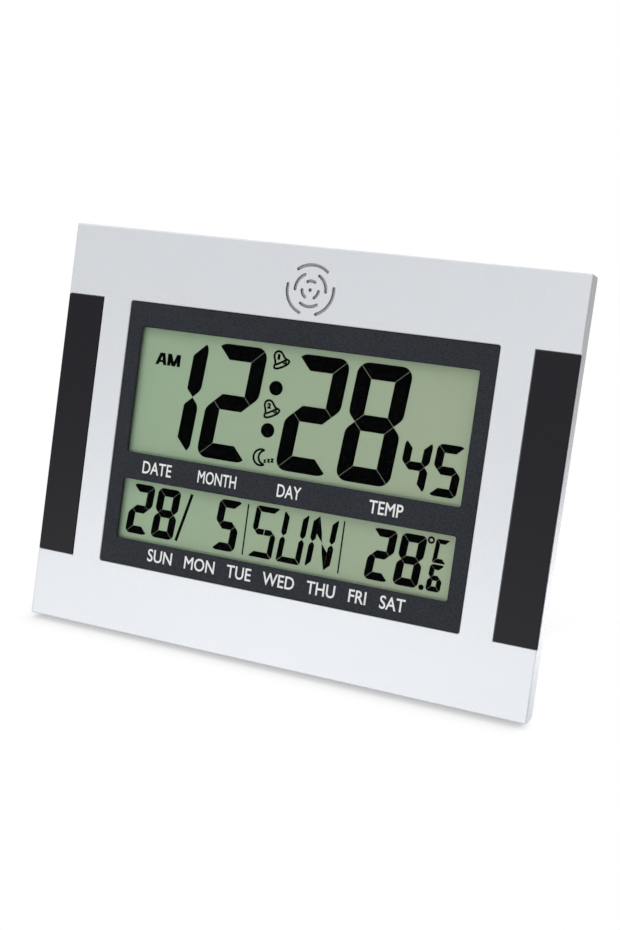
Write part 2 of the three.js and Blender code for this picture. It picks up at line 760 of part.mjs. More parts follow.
function buildFront() {
  place('front_frame', frontFrame(), SILVER);
  place('side_strip_left', sideStrip(-1), BLACK);
  place('side_strip_right', sideStrip(1), BLACK);
  place('display_bezel', displayBezel(), CHARCOAL);
  place('display_window', lensSlab(0, lensBack, lensFront), CLEAR);
  place('lcd_glass', lcdGlass(), DISPLAY);
  place('lcd_reflector', lensSlab(0, reflectorBack, reflectorFront, CONTACT_LEDGE), REFLECTOR);
  place('display_clamp', displayClamp(), INNER_ABS);
  place('zebra_strip', block(
    [-ZEBRA_LENGTH / 2, ZEBRA_LENGTH / 2],
    [zebraY - ZEBRA_WIDTH / 2, zebraY + ZEBRA_WIDTH / 2],
    [boardFront + FIT, glassMiddle - FIT],
  ), RUBBER);
  clampScrewPlaces.forEach(([x, y], number) => {
    const seat = clampBack - FIT;
    const geometry = screw(SCREW_HEAD, SCREW_HEAD_HEIGHT, SCREW_SHAFT, bossTip - seat);
    place(`clamp_screw_${number + 1}`, geometry, STEEL).position.set(x, y, seat);
  });
}

function buildMainBoard() {
  place('main_board', mainBoard(), BOARD);
  boardScrewPlaces.forEach(([x, y], number) => {
    const seat = boardBack - FIT;
    const tip = clampFront - SCREW_STOP - FIT;
    const geometry = screw(SMALL_HEAD, SMALL_HEAD_HEIGHT, SMALL_SHAFT, tip - seat);
    place(`board_screw_${number + 1}`, geometry, STEEL).position.set(x, y, seat);
  });
  const seat = boardBack - FIT;
  const blob = dome(CHIP_RADIUS, CHIP_HEIGHT, TURNED_SIDES);
  place('controller_blob', blob, POTTING).position.set(0, boardMid, seat);
  const can = new THREE.CylinderGeometry(CRYSTAL_RADIUS, CRYSTAL_RADIUS, CRYSTAL_LENGTH, HOLE_SIDES);
  place('watch_crystal', can, STEEL).position.set(-CRYSTAL_OFFSET, boardMid, seat - CRYSTAL_RADIUS);
  const bead = dome(SENSOR_RADIUS, SENSOR_HEIGHT, HOLE_SIDES);
  place('temperature_sensor', bead, CERAMIC).position.set(SENSOR_OFFSET, boardMid, seat);
}

function buildSpeaker() {
  const cloth = post(SPEAKER_RADIUS, clothBack, clothFront, 0, grilleY, COLLAR_SIDES);
  place('grille_cloth', cloth, CLOTH);
  const rimBack = speakerFront - SPEAKER_RIM;
  const plateBack = speakerBack + MAGNET_THICKNESS + FIT;
  const plateFront = plateBack + SPEAKER_PLATE;
  const rimInner = SPEAKER_RADIUS - SPEAKER_LIP;
  const basket = turned([
    [POLE_RADIUS + FIT, plateBack],
    [MAGNET_RADIUS + SPEAKER_RIM, plateBack],
    [SPEAKER_RADIUS, rimBack],
    [SPEAKER_RADIUS, speakerFront],
    [rimInner, speakerFront],
    [rimInner, rimBack],
    [MAGNET_RADIUS, plateFront],
    [POLE_RADIUS + FIT, plateFront],
    [POLE_RADIUS + FIT, plateBack],
  ], TURNED_SIDES);
  place('speaker_basket', basket, MYLAR).position.y = grilleY;
  const coneEdge = rimInner - FIT;
  const coneFront = speakerFront - FIT;
  const cone = turned([
    [0, coneFront - SPEAKER_RIM],
    [POLE_RADIUS, rimBack - FIT],
    [coneEdge, coneFront - SPEAKER_PLATE],
    [coneEdge, coneFront],
    [POLE_RADIUS, rimBack + FIT],
    [0, coneFront - SPEAKER_PLATE],
  ], TURNED_SIDES);
  place('speaker_cone', cone, MYLAR).position.y = grilleY;
  const magnet = turned([
    [0, speakerBack],
    [MAGNET_RADIUS, speakerBack],
    [MAGNET_RADIUS, speakerBack + MAGNET_THICKNESS],
    [POLE_RADIUS, speakerBack + MAGNET_THICKNESS],
    [POLE_RADIUS, plateFront],
    [0, plateFront],
  ], TURNED_SIDES);
  place('speaker_magnet', magnet, FERRITE).position.y = grilleY;
}

// Outside of the raised housing, drawn in by a margin, from the back face to the flange.
function housingBlank(margin, back) {
  const at = (inset) => roundedRect(
    2 * (housingHalf - inset),
    housingTop - housingBottom - 2 * inset,
    Math.max(HOUSING_CORNER - inset, LEAST_RADIUS),
    0,
    housingMid,
    HOUSING_STEPS,
  );
  const edge = edgeLevels(HOUSING_ROUND).reverse().map(({ inset, drop }) => (
    { outline: at(margin + HOUSING_DRAFT + inset), z: back + drop }));
  return solid(loft([...edge, { outline: at(margin), z: flangeFront }]));
}

function housingHollow() {
  const at = (inset) => roundedRect(
    2 * (housingHalf - inset),
    housingTop - housingBottom - 2 * inset,
    HOUSING_CORNER - HOUSING_WALL,
    0,
    housingMid,
    HOUSING_STEPS,
  );
  return solid(loft([
    { outline: at(HOUSING_WALL + HOUSING_DRAFT), z: wallInner },
    { outline: at(HOUSING_WALL), z: flangeFront + OVERRUN },
  ]));
}

// A keyhole: a round entry for a screw head with a narrower slot above it.
function keyhole(x) {
  const shape = new THREE.Shape();
  const spread = Math.asin(KEYHOLE_SLOT / KEYHOLE_ENTRY);
  shape.absarc(0, 0, KEYHOLE_ENTRY, Math.PI / 2 + spread, Math.PI * 2.5 - spread, false);
  shape.absarc(0, KEYHOLE_RISE, KEYHOLE_SLOT, 0, Math.PI, false);
  const cut = extrude(shape, HOUSING_WALL + 2 * OVERRUN, KEYHOLE_STEPS);
  return solid(cut.translate(x, keyholeY, backFace - OVERRUN));
}

function ventCuts() {
  const end = (VENT_LENGTH - VENT_WIDTH) / 2;
  return Array.from({ length: VENT_COUNT }, (_, row) => {
    const y = housingTop - VENT_DROP - row * VENT_PITCH;
    const outline = [
      ...arcPoints(end, y, VENT_WIDTH / 2, -Math.PI / 2, Math.PI / 2),
      ...arcPoints(-end, y, VENT_WIDTH / 2, Math.PI / 2, Math.PI * 1.5),
    ];
    return solid(loft([{ outline, z: backFace - OVERRUN }, { outline, z: wallInner + OVERRUN }]));
  });
}

function keyCuts() {
  const recess = slab({
    width: KEY_WIDTH + 2 * KEY_RECESS_MARGIN,
    height: keySpan + KEY_HEIGHT + 2 * KEY_RECESS_MARGIN,
    radius: KEY_CORNER + KEY_RECESS_MARGIN,
    x: keyX,
    y: keyMid,
    back: backFace - OVERRUN,
    front: backFace + KEY_RECESS,
  });
  const holes = keyPlaces.map(([x, y]) => solid(slab({
    width: KEY_WIDTH + 2 * FIT,
    height: KEY_HEIGHT + 2 * FIT,
    radius: KEY_CORNER + FIT,
    x,
    y,
    back: backFace - OVERRUN,
    front: wallInner + OVERRUN,
  })));
  return [solid(recess), ...holes];
}

function rearCover() {
  const flange = slab({
    width: PANEL_WIDTH - 2 * (RIM_WALL + FIT),
    height: PANEL_HEIGHT - 2 * (RIM_WALL + FIT),
    radius: PANEL_CORNER,
    back: flangeBack,
    front: flangeFront,
  });
  const wells = caseScrewPlaces.map(([x, y]) =>
    solid(post(WELL_RADIUS, flangeBack, wellFront, x, y)));
  const wellBores = caseScrewPlaces.flatMap(([x, y]) => [
    solid(post(SCREW_HEAD + FIT, flangeBack - OVERRUN, wellSeat, x, y)),
    solid(post(SCREW_SHAFT + FIT, flangeBack, wellFront + OVERRUN, x, y, HOLE_SIDES)),
  ]);
  const pocketBlock = solid(block(
    [-pocketOuter, pocketOuter],
    [housingBottom, pocketTop + POCKET_WALL],
    [backFace, pocketFloor + POCKET_WALL],
  )).intersect(housingBlank(WALL_SINK, backFace));
  const pocket = block(
    [-pocketHalf, pocketHalf],
    [pocketBottom, pocketTop],
    [backFace - OVERRUN, pocketFloor],
  );
  const pinReach = pocketHalf + PIN_SEAT + FIT;
  const pinBore = rod(PIN_RADIUS + FIT, 2 * pinReach).translate(0, hingeY, hingeZ);
  const bayTray = block(
    [bayStart - BAY_WALL, housingHalf - HOUSING_DRAFT - WALL_SINK],
    [bayY - bayOuter, bayY + bayOuter],
    [railTop, bayFront],
  );
  const bayHead = block(
    [bayStart - BAY_WALL, bayStart],
    [bayY - bayOuter, bayY + bayOuter],
    [wallInner - WALL_SINK, bayFront],
  );
  const bay = block(
    [bayStart, bayEnd],
    [bayY - bayHalf, bayY + bayHalf],
    [railTop - OVERRUN, bayFloor],
  );
  const doorway = block(
    [bayStart, housingHalf + OVERRUN],
    [bayY - bayOuter - FIT, bayY + bayOuter + FIT],
    [backFace - OVERRUN, railTop],
  );
  const tongueWay = block(
    [bayStart, housingHalf + OVERRUN],
    [bayY - tongueHalf - FIT, bayY + tongueHalf + FIT],
    [wallInner, railTop],
  );
  const keyPosts = keyPostPlaces.map(([x, y]) =>
    solid(post(KEY_POST_RADIUS, wallInner - WALL_SINK, keyBoardBack - FIT, x, y)));
  const keyPilots = keyPostPlaces.map(([x, y]) =>
    solid(post(SMALL_SHAFT + FIT, keyBoardFront - KEY_SCREW_LENGTH - FIT, keyBoardBack, x, y, HOLE_SIDES)));
  const shell = solid(flange).add(housingBlank(0, backFace)).subtract(housingHollow());
  const fitted = joinAll(shell, [...wells, pocketBlock, solid(bayTray), solid(bayHead), ...keyPosts]);
  return geometryOf(cutAll(fitted, [
    ...wellBores,
    solid(pocket),
    solid(pinBore),
    solid(bay),
    solid(doorway),
    solid(tongueWay),
    ...keyPilots,
    ...keyCuts(),
    ...ventCuts(),
    keyhole(-KEYHOLE_X),
    keyhole(KEYHOLE_X),
  ]));
}

function buildRear() {
  place('rear_cover', rearCover(), DARK_ABS);
  caseScrewPlaces.forEach(([x, y], number) => {
    const seat = wellSeat - FIT;
    const geometry = screw(SCREW_HEAD, SCREW_HEAD_HEIGHT, SCREW_SHAFT, bossTip - seat);
    place(`case_screw_${number + 1}`, geometry, STEEL).position.set(x, y, seat);
  });
}

// The stand lies along +y from its pin, outer face to -z, and is turned open about the pin.
function standLeg() {
  const side = new THREE.Shape();
  side.absarc(0, 0, legHalf, Math.PI / 2, Math.PI * 1.5, false);
  side.lineTo(LEG_LENGTH - FOOT_RUN, -legHalf);
  side.lineTo(LEG_LENGTH, -legHalf + FOOT_RUN * Math.tan(footAngle));
  side.lineTo(LEG_LENGTH, legHalf);
  const plate = extrude(side, LEG_WIDTH).applyMatrix4(SIDE_ON).translate(-LEG_WIDTH / 2, 0, 0);
  const tip = LEG_TIP_WIDTH / 2;
  const plan = new THREE.Shape();
  plan.moveTo(-LEG_WIDTH / 2, -LEG_THICKNESS);
  plan.lineTo(LEG_WIDTH / 2, -LEG_THICKNESS);
  plan.lineTo(LEG_WIDTH / 2, LEG_THICKNESS);
  plan.lineTo(tip, LEG_LENGTH - LEG_TIP_CORNER);
  plan.quadraticCurveTo(tip, LEG_LENGTH, tip - LEG_TIP_CORNER, LEG_LENGTH);
  plan.lineTo(-tip + LEG_TIP_CORNER, LEG_LENGTH);
  plan.quadraticCurveTo(-tip, LEG_LENGTH, -tip, LEG_LENGTH - LEG_TIP_CORNER);
  plan.lineTo(-LEG_WIDTH / 2, LEG_THICKNESS);
  const outline = extrude(plan, 2 * LEG_THICKNESS).translate(0, 0, -LEG_THICKNESS);
  const bore = rod(PIN_RADIUS + FIT, LEG_WIDTH + 2 * OVERRUN);
  const cellsWidth = LEG_TIP_WIDTH - 2 * LEG_RIB;
  const cellWidth = (cellsWidth - (LEG_CELLS - 1) * LEG_RIB) / LEG_CELLS;
  const cells = Array.from({ length: LEG_CELLS }, (_, column) => {
    const left = -cellsWidth / 2 + column * (cellWidth + LEG_RIB);
    const ends = [LEG_THICKNESS, LEG_LENGTH - FOOT_RUN - THUMB_DEPTH - LEG_RIB];
    return solid(block([left, left + cellWidth], ends, [-legHalf + LEG_SKIN, legHalf + OVERRUN]));
  });
  const thumbY = LEG_LENGTH + THUMB_RADIUS - THUMB_DEPTH;
  const thumb = post(THUMB_RADIUS, -LEG_THICKNESS, LEG_THICKNESS, 0, thumbY, COLLAR_SIDES);
  const body = solid(plate).intersect(solid(outline));
  return geometryOf(cutAll(body, [solid(bore), ...cells, solid(thumb)]));
}

function buildStand() {
  const stand = new THREE.Group();
  stand.position.set(0, hingeY, hingeZ);
  stand.rotation.x = -STAND_OPEN;
  clock.add(stand);
  place('stand_leg', standLeg(), DARK_ABS, stand);
  const pin = rod(PIN_RADIUS, 2 * (pocketHalf + PIN_SEAT));
  place('stand_hinge_pin', pin, STEEL).position.set(0, hingeY, hingeZ);
}

// The door takes its skin from the housing's own outside, so its end follows the housing's side.
function batteryDoor() {
  const left = bayStart + FIT;
  const right = housingHalf + OVERRUN;
  const skin = housingBlank(DOOR_SETBACK, doorOuter);
  const plate = skin.intersect(solid(block(
    [left, right],
    [bayY - bayOuter, bayY + bayOuter],
    [doorOuter - OVERRUN, doorInner],
  )));
  const lip = skin.intersect(solid(block(
    [bayEnd + FIT, right],
    [bayY - bayOuter, bayY + bayOuter],
    [doorInner - OVERRUN / 2, tongueFront],
  )));
  const tongues = [-1, 1].flatMap((side) => {
    const span = (a, b) => [bayY + side * a, bayY + side * b].sort((p, q) => p - q);
    const root = bayOuter - TONGUE_ROOT;
    return [
      solid(block([left, bayEnd + OVERRUN], span(root, bayOuter), [doorInner - OVERRUN / 2, tongueFront])),
      solid(block([left, bayEnd + OVERRUN], span(root, tongueHalf), [tongueBack, tongueFront])),
    ];
  });
  const grips = Array.from({ length: GRIP_COUNT }, (_, row) => {
    const x = bayEnd - GRIP_LENGTH / 2 - row * GRIP_PITCH;
    return solid(block(
      [x - GRIP_WIDTH / 2, x + GRIP_WIDTH / 2],
      [bayY - GRIP_LENGTH / 2, bayY + GRIP_LENGTH / 2],
      [doorOuter - OVERRUN, doorOuter + GRIP_DEPTH],
    ));
  });
  return geometryOf(cutAll(joinAll(plate, [lip, ...tongues]), grips));
}

// An AA cell along x with its raised positive end towards -x, centred on its length.
function cell() {
  const end = CELL_LENGTH / 2;
  const shoulder = end - CELL_NUB;
  return turned([
    [0, -end],
    [CELL_RADIUS, -end],
    [CELL_RADIUS, shoulder],
    [CELL_NUB_RADIUS, shoulder],
    [CELL_NUB_RADIUS, end],
    [0, end],
  ], TURNED_SIDES).rotateY(-Math.PI / 2);
}

// A conical contact coil along +x, wide at its plate and narrow at the cell.
function contactCoil() {
  const count = Math.round(COIL_TURNS * COIL_STEPS);
  const run = COIL_LENGTH - 2 * COIL_WIRE;
  const centres = [];
  const positions = [];
  const index = [];
  for (let step = 0; step <= count; step += 1) {
    const share = step / count;
    const turn = (step / COIL_STEPS) * 2 * Math.PI;
    const radius = COIL_WIDE + (COIL_NARROW - COIL_WIDE) * share;
    const outward = new THREE.Vector3(0, Math.cos(turn), Math.sin(turn));
    const along = new THREE.Vector3(1, 0, 0);
    const centre = outward.clone().multiplyScalar(radius).addScaledVector(along, COIL_WIRE + run * share);
    centres.push(centre);
    for (let side = 0; side < COIL_SIDES; side += 1) {
      const angle = (side / COIL_SIDES) * 2 * Math.PI;
      const point = centre.clone()
        .addScaledVector(outward, COIL_WIRE * Math.cos(angle))
        .addScaledVector(along, COIL_WIRE * Math.sin(angle));
      positions.push(...point.toArray());
    }
  }
  for (let step = 0; step < count; step += 1) {
    for (let side = 0; side < COIL_SIDES; side += 1) {
      const a = step * COIL_SIDES + side;
      const b = step * COIL_SIDES + ((side + 1) % COIL_SIDES);
      index.push(a, a + COIL_SIDES, b + COIL_SIDES, a, b + COIL_SIDES, b);
    }
  }
  for (let side = 1; side < COIL_SIDES - 1; side += 1) {
    const top = count * COIL_SIDES;
    index.push(0, side, side + 1, top, top + side + 1, top + side);
  }
  const geometry = new THREE.BufferGeometry();
  geometry.setAttribute('position', new THREE.Float32BufferAttribute(positions, 3));
  geometry.setIndex(index);
  const apart = centres.flatMap((near, i) =>
    centres.slice(i + COIL_STEPS / 2 + 1).map((far) => near.distanceTo(far) - 2 * COIL_WIRE));
  console.log(`contact coil, least gap to itself: ${Math.min(...apart).toFixed(2)} mm`);
  return geometry;
}

function buildBattery() {
  place('battery_door', batteryDoor(), DARK_ABS);
  const upper = bayY + cellPitch / 2;
  const lower = bayY - cellPitch / 2;
  const leftPlate = bayStart + FIT;
  const rightPlate = bayEnd - FIT - PLATE_THICKNESS;
  const plateZ = [cellZ - PLATE_HALF, cellZ + PLATE_HALF];
  const plateAt = (x, low, high) =>
    block([x, x + PLATE_THICKNESS], [low - PLATE_HALF, high + PLATE_HALF], plateZ);
  place('contact_positive', plateAt(leftPlate, upper, upper), STEEL);
  place('contact_negative', plateAt(leftPlate, lower, lower), STEEL);
  place('contact_link', plateAt(rightPlate, lower, upper), STEEL);
  const leftCell = leftPlate + PLATE_THICKNESS + FIT + CELL_LENGTH / 2;
  const rightCell = rightPlate - FIT - CELL_LENGTH / 2;
  place('battery_upper', cell(), CELL).position.set(leftCell, upper, cellZ);
  const turnedCell = place('battery_lower', cell(), CELL);
  turnedCell.position.set(rightCell, lower, cellZ);
  turnedCell.rotation.z = Math.PI;
  const lowerCoil = place('contact_coil_lower', contactCoil(), STEEL);
  lowerCoil.position.set(leftPlate + PLATE_THICKNESS + FIT, lower, cellZ);
  const upperCoil = place('contact_coil_upper', contactCoil(), STEEL);
  upperCoil.position.set(rightPlate - FIT, upper, cellZ);
  upperCoil.rotation.z = Math.PI;
}

// A key cap with a crowned top towards -z, a retaining lip inside the wall and a short stem.
function keyCap() {
  const at = (inset) => roundedRect(KEY_WIDTH - 2 * inset, KEY_HEIGHT - 2 * inset, KEY_CORNER - inset);
  const edge = edgeLevels(KEY_CROWN).reverse().map(({ inset, drop }) => (
    { outline: at(inset), z: backFace + drop }));
  const cap = loft([...edge, { outline: at(0), z: keyLipFront }]);
  const lip = slab({
    width: KEY_WIDTH + 2 * KEY_LIP,
    height: KEY_HEIGHT + 2 * KEY_LIP,
    radius: KEY_CORNER + KEY_LIP,
    back: keyLipBack,
    front: keyLipFront,
  });
  const stem = post(KEY_STEM, keyLipBack, keyLipFront + KEY_STEM_LENGTH, 0, 0, HOLE_SIDES);
  return geometryOf(joinAll(solid(cap), [solid(lip), solid(stem)]));
}

function tactSwitch() {
  const half = SWITCH_SIZE / 2;
  const body = block([-half, half], [-half, half], [switchBack, switchBack + SWITCH_HEIGHT]);
  const plunger = post(PLUNGER_RADIUS, plungerBack, switchBack + OVERRUN, 0, 0, HOLE_SIDES);
  return geometryOf(solid(body).add(solid(plunger)));
}

function keyBoard() {
  const half = keySpan / 2 + KEY_BOARD_END;
  const plate = block(
    [keyX - KEY_BOARD_WIDTH / 2, keyX + KEY_BOARD_WIDTH / 2],
    [keyMid - half, keyMid + half],
    [keyBoardBack, keyBoardFront],
  );
  const holes = keyPostPlaces.map(([x, y]) =>
    solid(post(SMALL_SHAFT + FIT, keyBoardBack - OVERRUN, keyBoardFront + OVERRUN, x, y, HOLE_SIDES)));
  return geometryOf(cutAll(solid(plate), holes));
}

function buildKeys() {
  KEY_NAMES.forEach((name, row) => {
    const [x, y] = keyPlaces[row];
    place(`${name}_key`, keyCap(), KEY_RUBBER).position.set(x, y, 0);
    place(`${name}_switch`, tactSwitch(), POTTING).position.set(x, y, 0);
  });
  place('key_board', keyBoard(), BOARD);
  keyPostPlaces.forEach(([x, y], number) => {
    const geometry = screw(SMALL_HEAD, SMALL_HEAD_HEIGHT, SMALL_SHAFT, KEY_SCREW_LENGTH);
    const mesh = place(`key_board_screw_${number + 1}`, geometry, STEEL);
    mesh.position.set(x, y, keyBoardFront + FIT);
    mesh.rotation.x = Math.PI;
  });
}

// A round lead along a smooth route.
function lead(points) {
  const path = new THREE.CatmullRomCurve3(points.map((at) => new THREE.Vector3(...at)));
  const section = new THREE.Shape();
  for (let side = 0; side < LEAD_SIDES; side += 1) {
    const angle = (side / LEAD_SIDES) * 2 * Math.PI;
    const at = [LEAD_RADIUS * Math.cos(angle), LEAD_RADIUS * Math.sin(angle)];
    if (side === 0) section.moveTo(...at);
    else section.lineTo(...at);
  }
  return new THREE.ExtrudeGeometry(section, { extrudePath: path, steps: LEAD_STEPS });
}

function buildLeads() {
  const onBoard = boardBack - FIT - LEAD_RADIUS;
  const overClamp = clampBack - FIT - LEAD_RADIUS;
  [-1, 1].forEach((side, number) => {
    const x = side * SPEAKER_LEAD_X;
    const fromMagnet = grilleY - MAGNET_RADIUS - FIT - LEAD_RADIUS;
    place(`speaker_lead_${number + 1}`, lead([
      [x, fromMagnet, speakerBack + LEAD_RADIUS],
      [x, clampTop + LEAD_ROOM / 2, overClamp],
      [x, boardTop + 2 * LEAD_RADIUS, onBoard - LEAD_RADIUS],
      [x, boardTop - LEAD_TAIL, onBoard],
      [x, boardTop - 2 * LEAD_TAIL, onBoard],
    ]), number ? RED_WIRE : BLACK_WIRE);
  });
  const bayFace = bayStart - BAY_WALL - FIT - LEAD_RADIUS;
  [-1, 1].forEach((side, number) => {
    const x = bayFace - number * 4 * LEAD_RADIUS;
    place(side > 0 ? 'battery_lead_positive' : 'battery_lead_negative', lead([
      [x, bayY + (side * cellPitch) / 2, cellZ],
      [x, bayY + bayOuter, cellZ],
      [x, boardBottom - LEAD_TAIL, (cellZ + onBoard) / 2],
      [x, boardBottom + LEAD_TAIL, onBoard],
      [x, boardBottom + 2 * LEAD_TAIL, onBoard],
    ]), side > 0 ? RED_WIRE : BLACK_WIRE);
  });
  const ribbonFrom = keyMid + keySpan / 2;
  const ribbonTo = ribbonFrom + RIBBON_RUN;
  const lowFace = keyBoardFront + FIT;
  const highFace = boardBack - FIT;
  const ribbon = new THREE.Shape();
  ribbon.moveTo(ribbonFrom, lowFace);
  ribbon.lineTo(ribbonFrom + RIBBON_TAIL, lowFace);
  ribbon.lineTo(ribbonTo - RIBBON_TAIL, highFace - RIBBON_THICKNESS);
  ribbon.lineTo(ribbonTo, highFace - RIBBON_THICKNESS);
  ribbon.lineTo(ribbonTo, highFace);
  ribbon.lineTo(ribbonTo - RIBBON_TAIL - RIBBON_THICKNESS, highFace);
  ribbon.lineTo(ribbonFrom + RIBBON_TAIL - RIBBON_THICKNESS, lowFace + RIBBON_THICKNESS);
  ribbon.lineTo(ribbonFrom, lowFace + RIBBON_THICKNESS);
  const band = extrude(ribbon, RIBBON_WIDTH).applyMatrix4(SIDE_ON).translate(keyX + SMALL_HEAD + FIT, 0, 0);
  place('key_ribbon', band, RIBBON);
}

buildFront();
buildMainBoard();
buildSpeaker();
buildRear();
buildStand();
buildBattery();
buildKeys();
buildLeads();

// Stand the clock on the table, centred over the origin.
const alarmClock = new THREE.Group();
alarmClock.add(clock);
alarmClock.updateMatrixWorld(true);
const bounds = new THREE.Box3().setFromObject(alarmClock, true);
clock.position.y -= (bounds.min.y + bounds.max.y) / 2;
clock.position.z -= bounds.min.z;

export default alarmClock;
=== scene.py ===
# %% [markdown]
# # Desk alarm clock with a segment display
# The CAD solids of the clock come in as a fixed frame: every node is an object at the origin, in metres, with
# its place in its mesh. This lesson dresses that frame. It rounds the edges that the eye meets, gives every
# part the finish of its real material, draws the figures of the display and the printed words, and sets up a
# plain studio around the clock.

# %% Load the frame
import json
import math

import bmesh
import bpy
from mathutils import Matrix, Vector


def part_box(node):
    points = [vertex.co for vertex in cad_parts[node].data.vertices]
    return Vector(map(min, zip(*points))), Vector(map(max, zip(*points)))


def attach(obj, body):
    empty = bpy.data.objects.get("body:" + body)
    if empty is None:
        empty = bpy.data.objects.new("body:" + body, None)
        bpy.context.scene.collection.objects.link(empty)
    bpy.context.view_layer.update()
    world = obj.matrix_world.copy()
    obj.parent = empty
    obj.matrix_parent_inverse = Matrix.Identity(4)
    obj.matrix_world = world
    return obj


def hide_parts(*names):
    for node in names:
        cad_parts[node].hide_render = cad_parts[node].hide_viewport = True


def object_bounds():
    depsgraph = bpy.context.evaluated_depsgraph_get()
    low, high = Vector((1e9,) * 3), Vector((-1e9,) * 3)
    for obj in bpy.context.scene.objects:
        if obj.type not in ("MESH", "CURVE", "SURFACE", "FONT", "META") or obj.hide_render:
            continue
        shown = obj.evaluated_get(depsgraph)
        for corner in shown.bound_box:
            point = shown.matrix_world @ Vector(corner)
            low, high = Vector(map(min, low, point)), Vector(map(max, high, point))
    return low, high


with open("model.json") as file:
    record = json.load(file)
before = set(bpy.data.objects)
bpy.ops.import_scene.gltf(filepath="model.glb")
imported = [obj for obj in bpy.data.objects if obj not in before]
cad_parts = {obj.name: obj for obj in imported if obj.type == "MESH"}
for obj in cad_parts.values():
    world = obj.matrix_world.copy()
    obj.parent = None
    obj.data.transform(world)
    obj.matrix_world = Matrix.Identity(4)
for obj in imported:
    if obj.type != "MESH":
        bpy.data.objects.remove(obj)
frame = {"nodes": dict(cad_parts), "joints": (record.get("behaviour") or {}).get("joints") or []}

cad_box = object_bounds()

MM = 0.001
NODES = frame["nodes"]
print(len(NODES), "CAD nodes, box", [[round(side, 4) for side in corner] for corner in cad_box])

# %% [markdown]
# ## Camera
# The photograph looks down on the clock from its right, so the upright edges lean and the right side shows.
# A camera could be placed by eye, but its place, aim and focal length were worked out from the corners of the
# panel and the display, so that every edge falls where the photograph has it. The frame is taller than wide,
# so the sensor is fitted to its height.

# %% Camera at the photograph's viewpoint
CAMERA_PLACE = Vector((234.05, -532.99, 333.96)) * MM
CAMERA_AIM = Vector((9.98, -7.17, 93.74)) * MM
SENSOR_MM = 36
FOCAL_MM = 50.67


def new_object(name, data):
    """Make an object from its data and put it into the scene."""
    thing = bpy.data.objects.new(name, data)
    bpy.context.scene.collection.objects.link(thing)
    return thing


lens = bpy.data.cameras.new("studio_camera")
lens.sensor_fit = "VERTICAL"
lens.sensor_height = SENSOR_MM
lens.lens = FOCAL_MM
camera = new_object("studio_camera", lens)
camera.location = CAMERA_PLACE
camera.rotation_euler = (CAMERA_AIM - CAMERA_PLACE).to_track_quat("-Z", "Y").to_euler()
bpy.context.scene.camera = camera
print("camera", round((CAMERA_AIM - CAMERA_PLACE).length, 3), "m from its aim")

# %% [markdown]
# ## The panel's own axes
# The clock leans back, so nothing on its face is square to the world. Instead of turning every piece by the
# lean angle, one matrix maps panel millimetres to the world: x runs across the face, y up the face and z out
# of it, with the middle of the face at zero. The keys press straight into the back, so the axis of a key's
# joint is the direction out of the face. A second matrix does the same for the back, as seen from behind.

# %% Matrices for the face and the back
key_joint = next(joint for joint in frame["joints"] if joint["name"] == "mode_key_press")
OUT = Vector(key_joint["axis"]).normalized()
ACROSS = Vector((1, 0, 0))
RISE = OUT.cross(ACROSS)


def reach(node, way):
    """Lowest and highest place of a CAD node's points along a direction, in metres."""
    places = [point.co.dot(way) for point in NODES[node].data.vertices]
    return min(places), max(places)


def plane(across, rise, out, origin):
    """Matrix from millimetres on a face to metres in the world."""
    matrix = Matrix((across * MM, rise * MM, out * MM)).transposed().to_4x4()
    matrix.translation = origin
    return matrix


FACE = reach("front_frame", OUT)[1]
BACK = reach("rear_cover", OUT)[0]
MIDDLE = RISE * (sum(reach("front_frame", RISE)) / 2)
ON_FACE = plane(ACROSS, RISE, OUT, MIDDLE + OUT * FACE)
ON_BACK = plane(-ACROSS, RISE, -OUT, MIDDLE + OUT * BACK)
print("lean", round(math.degrees(math.asin(OUT.z)), 2), "degrees, depth", round((FACE - BACK) / MM, 2), "mm")

# %% [markdown]
# ## Helpers for materials
# Colours are written as sRGB hex codes, the way a picture editor shows them, but the renderer works in linear
# light, so one function converts them. Another adds a node, sets its options and links or sets its inputs. An
# input that is given a node takes that node's first output, which is nearly always the one that is wanted.
# Every material reads Object coordinates: all pieces stay at the origin, so these are metres on the clock,
# and the scale of a pattern is one divided by its real size.

# %% Colour and node helpers
def linear(code):
    """Turn a hex colour such as "CFD4D7" into linear red, green, blue and alpha."""
    parts = [int(code[start:start + 2], 16) / 255 for start in (0, 2, 4)]
    return [part / 12.92 if part <= 0.04045 else ((part + 0.055) / 1.055) ** 2.4 for part in parts] + [1]


def wire(tree, node, inputs):
    """Set a node's inputs. A value is set, a socket is linked, and of a node its first output is linked."""
    for name, value in inputs.items():
        source = value.outputs[0] if isinstance(value, bpy.types.Node) else value
        if isinstance(source, bpy.types.NodeSocket):
            tree.links.new(source, node.inputs[name])
        else:
            node.inputs[name].default_value = source


def add(tree, kind, inputs=None, **settings):
    """Add a node with its settings and links."""
    node = tree.nodes.new(kind)
    for name, value in settings.items():
        setattr(node, name, value)
    wire(tree, node, inputs or {})
    return node


def new_material(name):
    """Start a material and return it with its tree, its shader and its coordinates."""
    material = bpy.data.materials.new(name)
    material.use_nodes = True
    tree = material.node_tree
    shader = tree.nodes["Principled BSDF"]
    return material, tree, shader, add(tree, "ShaderNodeTexCoord").outputs["Object"]


def per_mm(size):
    """Scale of a texture whose pattern repeats about once in this many millimetres."""
    return 1 / (size * MM)


print("white is", [round(part, 3) for part in linear("FFFFFF")])

# %% [markdown]
# ## Plastics
# Most of the clock is injection-moulded ABS. Its surface copies the steel of the mould: a spark-eroded cavity
# gives a fine matt grain, a polished one a soft gloss. All of these plastics differ only in colour, grain and
# gloss, so one function makes them: a slow patchiness in the tone, and a grain that is bumped and that also
# varies the roughness.

